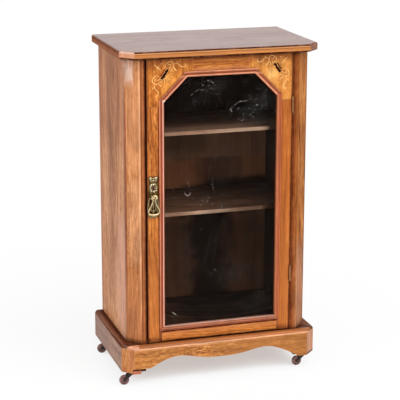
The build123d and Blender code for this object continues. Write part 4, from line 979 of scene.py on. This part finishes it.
inlayValues = {
    "centres": {"left": (-160.1, 874.5), "right": (162.1, 877.2)}, "face": -149.5, "proud": 0.16,
    "arms": {  # half width in millimetres, then the points
        "arch": (0.9, ((-8.5, 14), (-4.5, 18.5), (-4.6, 24), (-8.2, 28.6), (-13, 31.6), (-19.1, 33),
                       (-24.4, 29.5), (-26.2, 23.6), (-26.6, 18), (-29, 12.8), (-33.4, 8))),
        "leafEnd": (1.3, ((-26.4, 16.4), (-29.4, 12), (-32, 9.2), (-34.4, 6.6))),
        "scroll": (0.9, ((-25.8, 23.2), (-30, 26), (-37, 26.6), (-43, 21.8), (-49.6, 17), (-56.2, 17.2),
                         (-59.8, 20.6), (-59.2, 24.6), (-56.4, 24.2))),
        "tendril": (0.75, ((-26.8, 17.5), (-23.4, 14.6), (-20.5, 10.4), (-21.6, 6.6), (-24.6, 6.4))),
        "curl": (0.75, ((-10, 27.5), (-13.4, 24.4), (-17.6, 24.8), (-18.8, 28.2))),
        "innerLeaf": (0.9, ((-17.6, 19.8), (-15.4, 15.6), (-12.6, 12.2))),
        "twig": (0.6, ((16.5, 17.5), (16.2, 19.6), (15.0, 21.4))),
        "sideLeaf": (0.8, ((29.4, 5.0), (27.4, 7.8), (26.8, 10.4))),
        "hook": (0.8, ((-36, 26.4), (-36.2, 30.8), (-39.8, 32.2))),
    },
    "diagonal": {
        "sprig": (1.1, ((9.0, 8.6), (14, 14), (19, 18.4), (24, 23), (28, 26.4))),
    },
    # the tips of the fan below the bar; the rest are mirrored
    "petals": ((-27.5, -2.0), (-24.0, -9.6), (-17.6, -17.6)),
    "petalRoot": (-6.0, -6.0), "petalWide": 1.0,
    "bar": {"halfLength": 15.5, "halfWide": 3.5, "step": 1.9, "offset": -2.2},
    "thinBar": {"halfLength": 10.5, "halfWide": 1.7, "step": 1.5, "offset": 5.0},
    "bands": {  # the pale line along the cut corner, and its half width
        "left": ((-170.6, 803.0), (-152.9, 822.6), (-97.0, 876.5)),
        "right": ((171.2, 803.0), (153.2, 822.6), (97.2, 876.5)),
    },
    "bandWide": 0.8, "barProud": 0.2,
    "barRim": (1.2, 1.0), "rimProud": 0.06,  # a pale rim at the bar's ends and sides
    "tones": {  # pale and deep places, and the sheen
        "paleInlay": ((252, 206, 136), (230, 166, 94), 0.2),
        "lemonInlay": ((238, 178, 98), (222, 152, 74), 0.2),
        "darkInlay": ((56, 20, 6), (26, 8, 2), 0.03),
        "redInlay": ((150, 58, 26), (104, 34, 12), 0.05),
    },
}


def inlayMaterial(name, pale, deep, sheen):
    # wood let into the veneer: fine flecks and a slow change of tone
    material, tree = newMaterial(name)
    place = objectPlace(tree)
    slow = noise(tree, place, 70.0, 3.0, 0.6)
    fleck = noise(tree, stretched(tree, place, (500, 500, 90)), 1.0, 2.0, 0.6)
    level = calc(tree, "ADD", calc(tree, "MULTIPLY", slow, 0.7), calc(tree, "MULTIPLY", fleck, 0.3))
    colour = mixColour(tree, spread(tree, level, 0.36, 0.64), paint(*deep), paint(*pale))
    finishMaterial(tree, {"Base Color": colour, "Roughness": 0.4, "Specular IOR Level": sheen})
    return material


def ribbon(points, halfWide, centre, sign, swap, taper=(0.45, 1.0, 0.35)):
    # a thin lens section laid along the curve; taper is its share of the width at start, middle and end
    v = inlayValues
    flat = np.asarray(points, float)
    flat = flat[:, ::-1] if swap else flat
    flat = smoothPath(flat, 8)
    share = np.linspace(0, 1, len(flat))
    widths = np.interp(share, (0, 0.35, 0.7, 1), (taper[0], taper[1], taper[1], taper[2])) * halfWide
    face = np.full(len(flat), v["face"])
    path = np.stack([centre[0] + sign * flat[:, 0], face, centre[1] + flat[:, 1]], -1)
    return carried(path, roundProfile(1.0, v["proud"], 8), widths=widths, heights=1.0)


def steppedBar(shape, centre, sign, proud):
    # three blocks in a row across the diagonal, each a step further out than the one before
    along, across = np.array(((-sign, 1.0), (sign, 1.0))) / math.sqrt(2)
    steps = np.array((-1, -1 / 3, -1 / 3, 1 / 3, 1 / 3, 1)) * shape["halfLength"]
    shift = np.repeat((-1, 0, 1), 2) * shape["step"] + shape["offset"]
    upper, lower = shift + shape["halfWide"], shift - shape["halfWide"]
    flat = np.vstack([np.stack([steps, upper], -1), np.stack([steps, lower], -1)[::-1]])
    spots = np.asarray(centre) + flat[:, :1] * along + flat[:, 1:] * across
    count = len(spots)
    front, back = (np.stack([spots[:, 0], np.full(count, inlayValues["face"] + depth), spots[:, 1]], -1)
                   for depth in (-proud, 0.3))
    points = np.vstack([front, back])
    k = np.arange(count // 2 - 1)
    top = np.stack([k, k + 1, count - 2 - k, count - 1 - k], -1)
    rim = np.arange(count)
    near = (rim + 1) % count
    faces = np.vstack([top[:, ::-1], top + count, np.stack([rim, rim + count, near + count, near], -1)])
    if facesInwards(points, np.vstack([faces[:, :3], faces[:, [0, 2, 3]]])):
        faces = faces[:, ::-1]
    return points, faces.tolist()


def makeInlay(side, sign):
    v = inlayValues
    centre = v["centres"][side]
    lines, fan = [], []
    for wide, points in v["arms"].values():
        lines += [ribbon(points, wide, centre, sign, swap) for swap in (False, True)]
    for wide, points in v["diagonal"].values():
        lines.append(ribbon(points, wide, centre, sign, False))
    bar, (longer, wider) = v["bar"], v["barRim"]
    rim = {**bar, "halfLength": bar["halfLength"] + longer, "halfWide": bar["halfWide"] + wider}
    lines.append(steppedBar(rim, centre, sign, v["rimProud"]))
    for swap in (False, True):
        for tip in v["petals"]:
            root, end = np.array(v["petalRoot"], float), np.array(tip, float)
            middle = (root + end) / 2 + 0.12 * np.array((end - root)[::-1]) * (1, -1)
            fan.append(ribbon([root, middle, end], v["petalWide"], centre, sign, swap, (0.25, 1.0, 0.3)))
    band = (np.array(v["bands"][side], float) - centre) * (sign, 1)
    lines.append(ribbon(band, v["bandWide"], centre, sign, False, (1, 1, 1)))
    bars = [[steppedBar(v[key], centre, sign, v["barProud"])] for key in ("bar", "thinBar")]
    thinBarWood = inlay["redInlay"] if side == "left" else inlay["darkInlay"]
    addPiece(side + "Arabesque", lines, inlay["paleInlay"], "door")
    addPiece(side + "Fan", fan, inlay["lemonInlay"], "door")
    addPiece(side + "Bar", bars[0], inlay["darkInlay"], "door", flat=True)
    addPiece(side + "ThinBar", bars[1], thinBarWood, "door", flat=True)


inlay = {name: inlayMaterial(name, *tones) for name, tones in inlayValues["tones"].items()}
makeInlay("left", -1)
makeInlay("right", 1)
print("inlay made")


# Studio: a pale floor, a world that the camera sees as white, a soft key from the front right and a weak
# fill from the left

studioValues = {
    "lamps": {  # the way the light goes, how wide its source looks in degrees, and its strength
        "keyLamp": ((-0.45, 1.0, -1.25), 60, 2.3), "fillLamp": ((1.0, 0.75, -0.8), 70, 0.9),
    },
    "world": 0.5,
    "floorColour": 0.86,
    "floorLift": 0.84,        # how much of the floor's look is plain white, away from the cabinet
    "footReach": 0.3,         # how far off the cabinet the painted shadow still darkens the floor
    # the floor's painted shadow: its tone by the open share of the sky above it
    "footShade": ((0.11, (0.68, 0.61, 0.575)), (0.29, (1.0, 1.0, 1.0))),
    "floorReach": 30.0, "patchReach": 0.7,
}
white = (1, 1, 1, 1)


def makeLamp(name, towards, width, strength):
    light = bpy.data.lights.new(name, "SUN")
    light.angle = math.radians(width)
    light.energy = strength
    lamp = bpy.data.objects.new(name, light)
    lamp.rotation_euler = Vector(towards).to_track_quat("-Z", "Y").to_euler()
    lamp.location = -3 * Vector(towards)
    bpy.context.scene.collection.objects.link(lamp)


def seenDirectly(tree):
    # 1 for what the camera sees, straight or through glass or in a reflection
    path = addNode(tree, "ShaderNodeLightPath").outputs
    seen = calc(tree, "MAXIMUM", path["Is Camera Ray"], path["Is Glossy Ray"])
    return calc(tree, "MAXIMUM", seen, path["Is Transmission Ray"])


def makeWorld():
    world = bpy.data.worlds.new("studio")
    world.use_nodes = True
    tree = world.node_tree
    tree.nodes.clear()
    light, seen = (addNode(tree, "ShaderNodeBackground", {0: white, 1: strength})
                   for strength in (studioValues["world"], 1.0))
    both = mixShader(tree, seenDirectly(tree), light, seen)
    addNode(tree, "ShaderNodeOutputWorld", {0: both.outputs[0]})
    bpy.context.scene.world = world


def floorMaterial(name, shaded):
    v = studioValues
    material, tree = newMaterial(name)
    paper = addNode(tree, "ShaderNodeBsdfDiffuse", {0: (*[v["floorColour"]] * 3, 1)})
    tint = colourRamp(tree, openShare(tree, v["footReach"], 32), v["footShade"]) if shaded else white
    plain = addNode(tree, "ShaderNodeEmission", {0: tint, 1: 1.0})
    both = mixShader(tree, calc(tree, "MULTIPLY", seenDirectly(tree), v["floorLift"]), paper, plain)
    addNode(tree, "ShaderNodeOutputMaterial", {0: both.outputs[0]})
    return material


def makeFloor():
    # a small square under the cabinet, which takes its painted shadow, in a large one
    mesh = bpy.data.meshes.new("floor")
    corners = [(x * reach, y * reach, 0) for reach in (studioValues["floorReach"], studioValues["patchReach"])
               for x, y in ((-1, -1), (1, -1), (1, 1), (-1, 1))]
    around = [(k, (k + 1) % 4, (k + 1) % 4 + 4, k + 4) for k in range(4)]
    mesh.from_pydata(corners, [], [(4, 5, 6, 7), *around])
    mesh.polygons.foreach_set("material_index", [0, 1, 1, 1, 1])
    floor = bpy.data.objects.new("floor", mesh)
    bpy.context.scene.collection.objects.link(floor)
    mesh.materials.append(floorMaterial("floorNear", True))
    mesh.materials.append(floorMaterial("floorFar", False))


cameraValues = {
    "place": (-1.2231, -3.8622, 1.5477),
    "yaw": 17.40, "pitch": 14.80, "roll": 0.09,  # degrees: to the right, down, and the frame's own tilt
    "lens": 132.08,
}


def makeCamera():
    v = cameraValues
    yaw, pitch, roll = (math.radians(v[key]) for key in ("yaw", "pitch", "roll"))
    ahead = Vector((math.sin(yaw) * math.cos(pitch), math.cos(yaw) * math.cos(pitch), -math.sin(pitch)))
    right = ahead.cross(Vector((0, 0, 1))).normalized()
    up = right.cross(ahead)
    right, up = right * math.cos(roll) + up * math.sin(roll), up * math.cos(roll) - right * math.sin(roll)
    camera = bpy.data.objects.new("camera", bpy.data.cameras.new("camera"))
    camera.data.sensor_width = 36
    camera.data.lens = v["lens"]
    camera.matrix_world = Matrix.Translation(v["place"]) @ Matrix((right, up, -ahead)).transposed().to_4x4()
    bpy.context.scene.collection.objects.link(camera)
    bpy.context.scene.camera = camera


for name, lamp in studioValues["lamps"].items():
    makeLamp(name, *lamp)
makeWorld()
makeFloor()
makeCamera()
bpy.context.scene.view_settings.view_transform = "Standard"
print("studio and camera made")
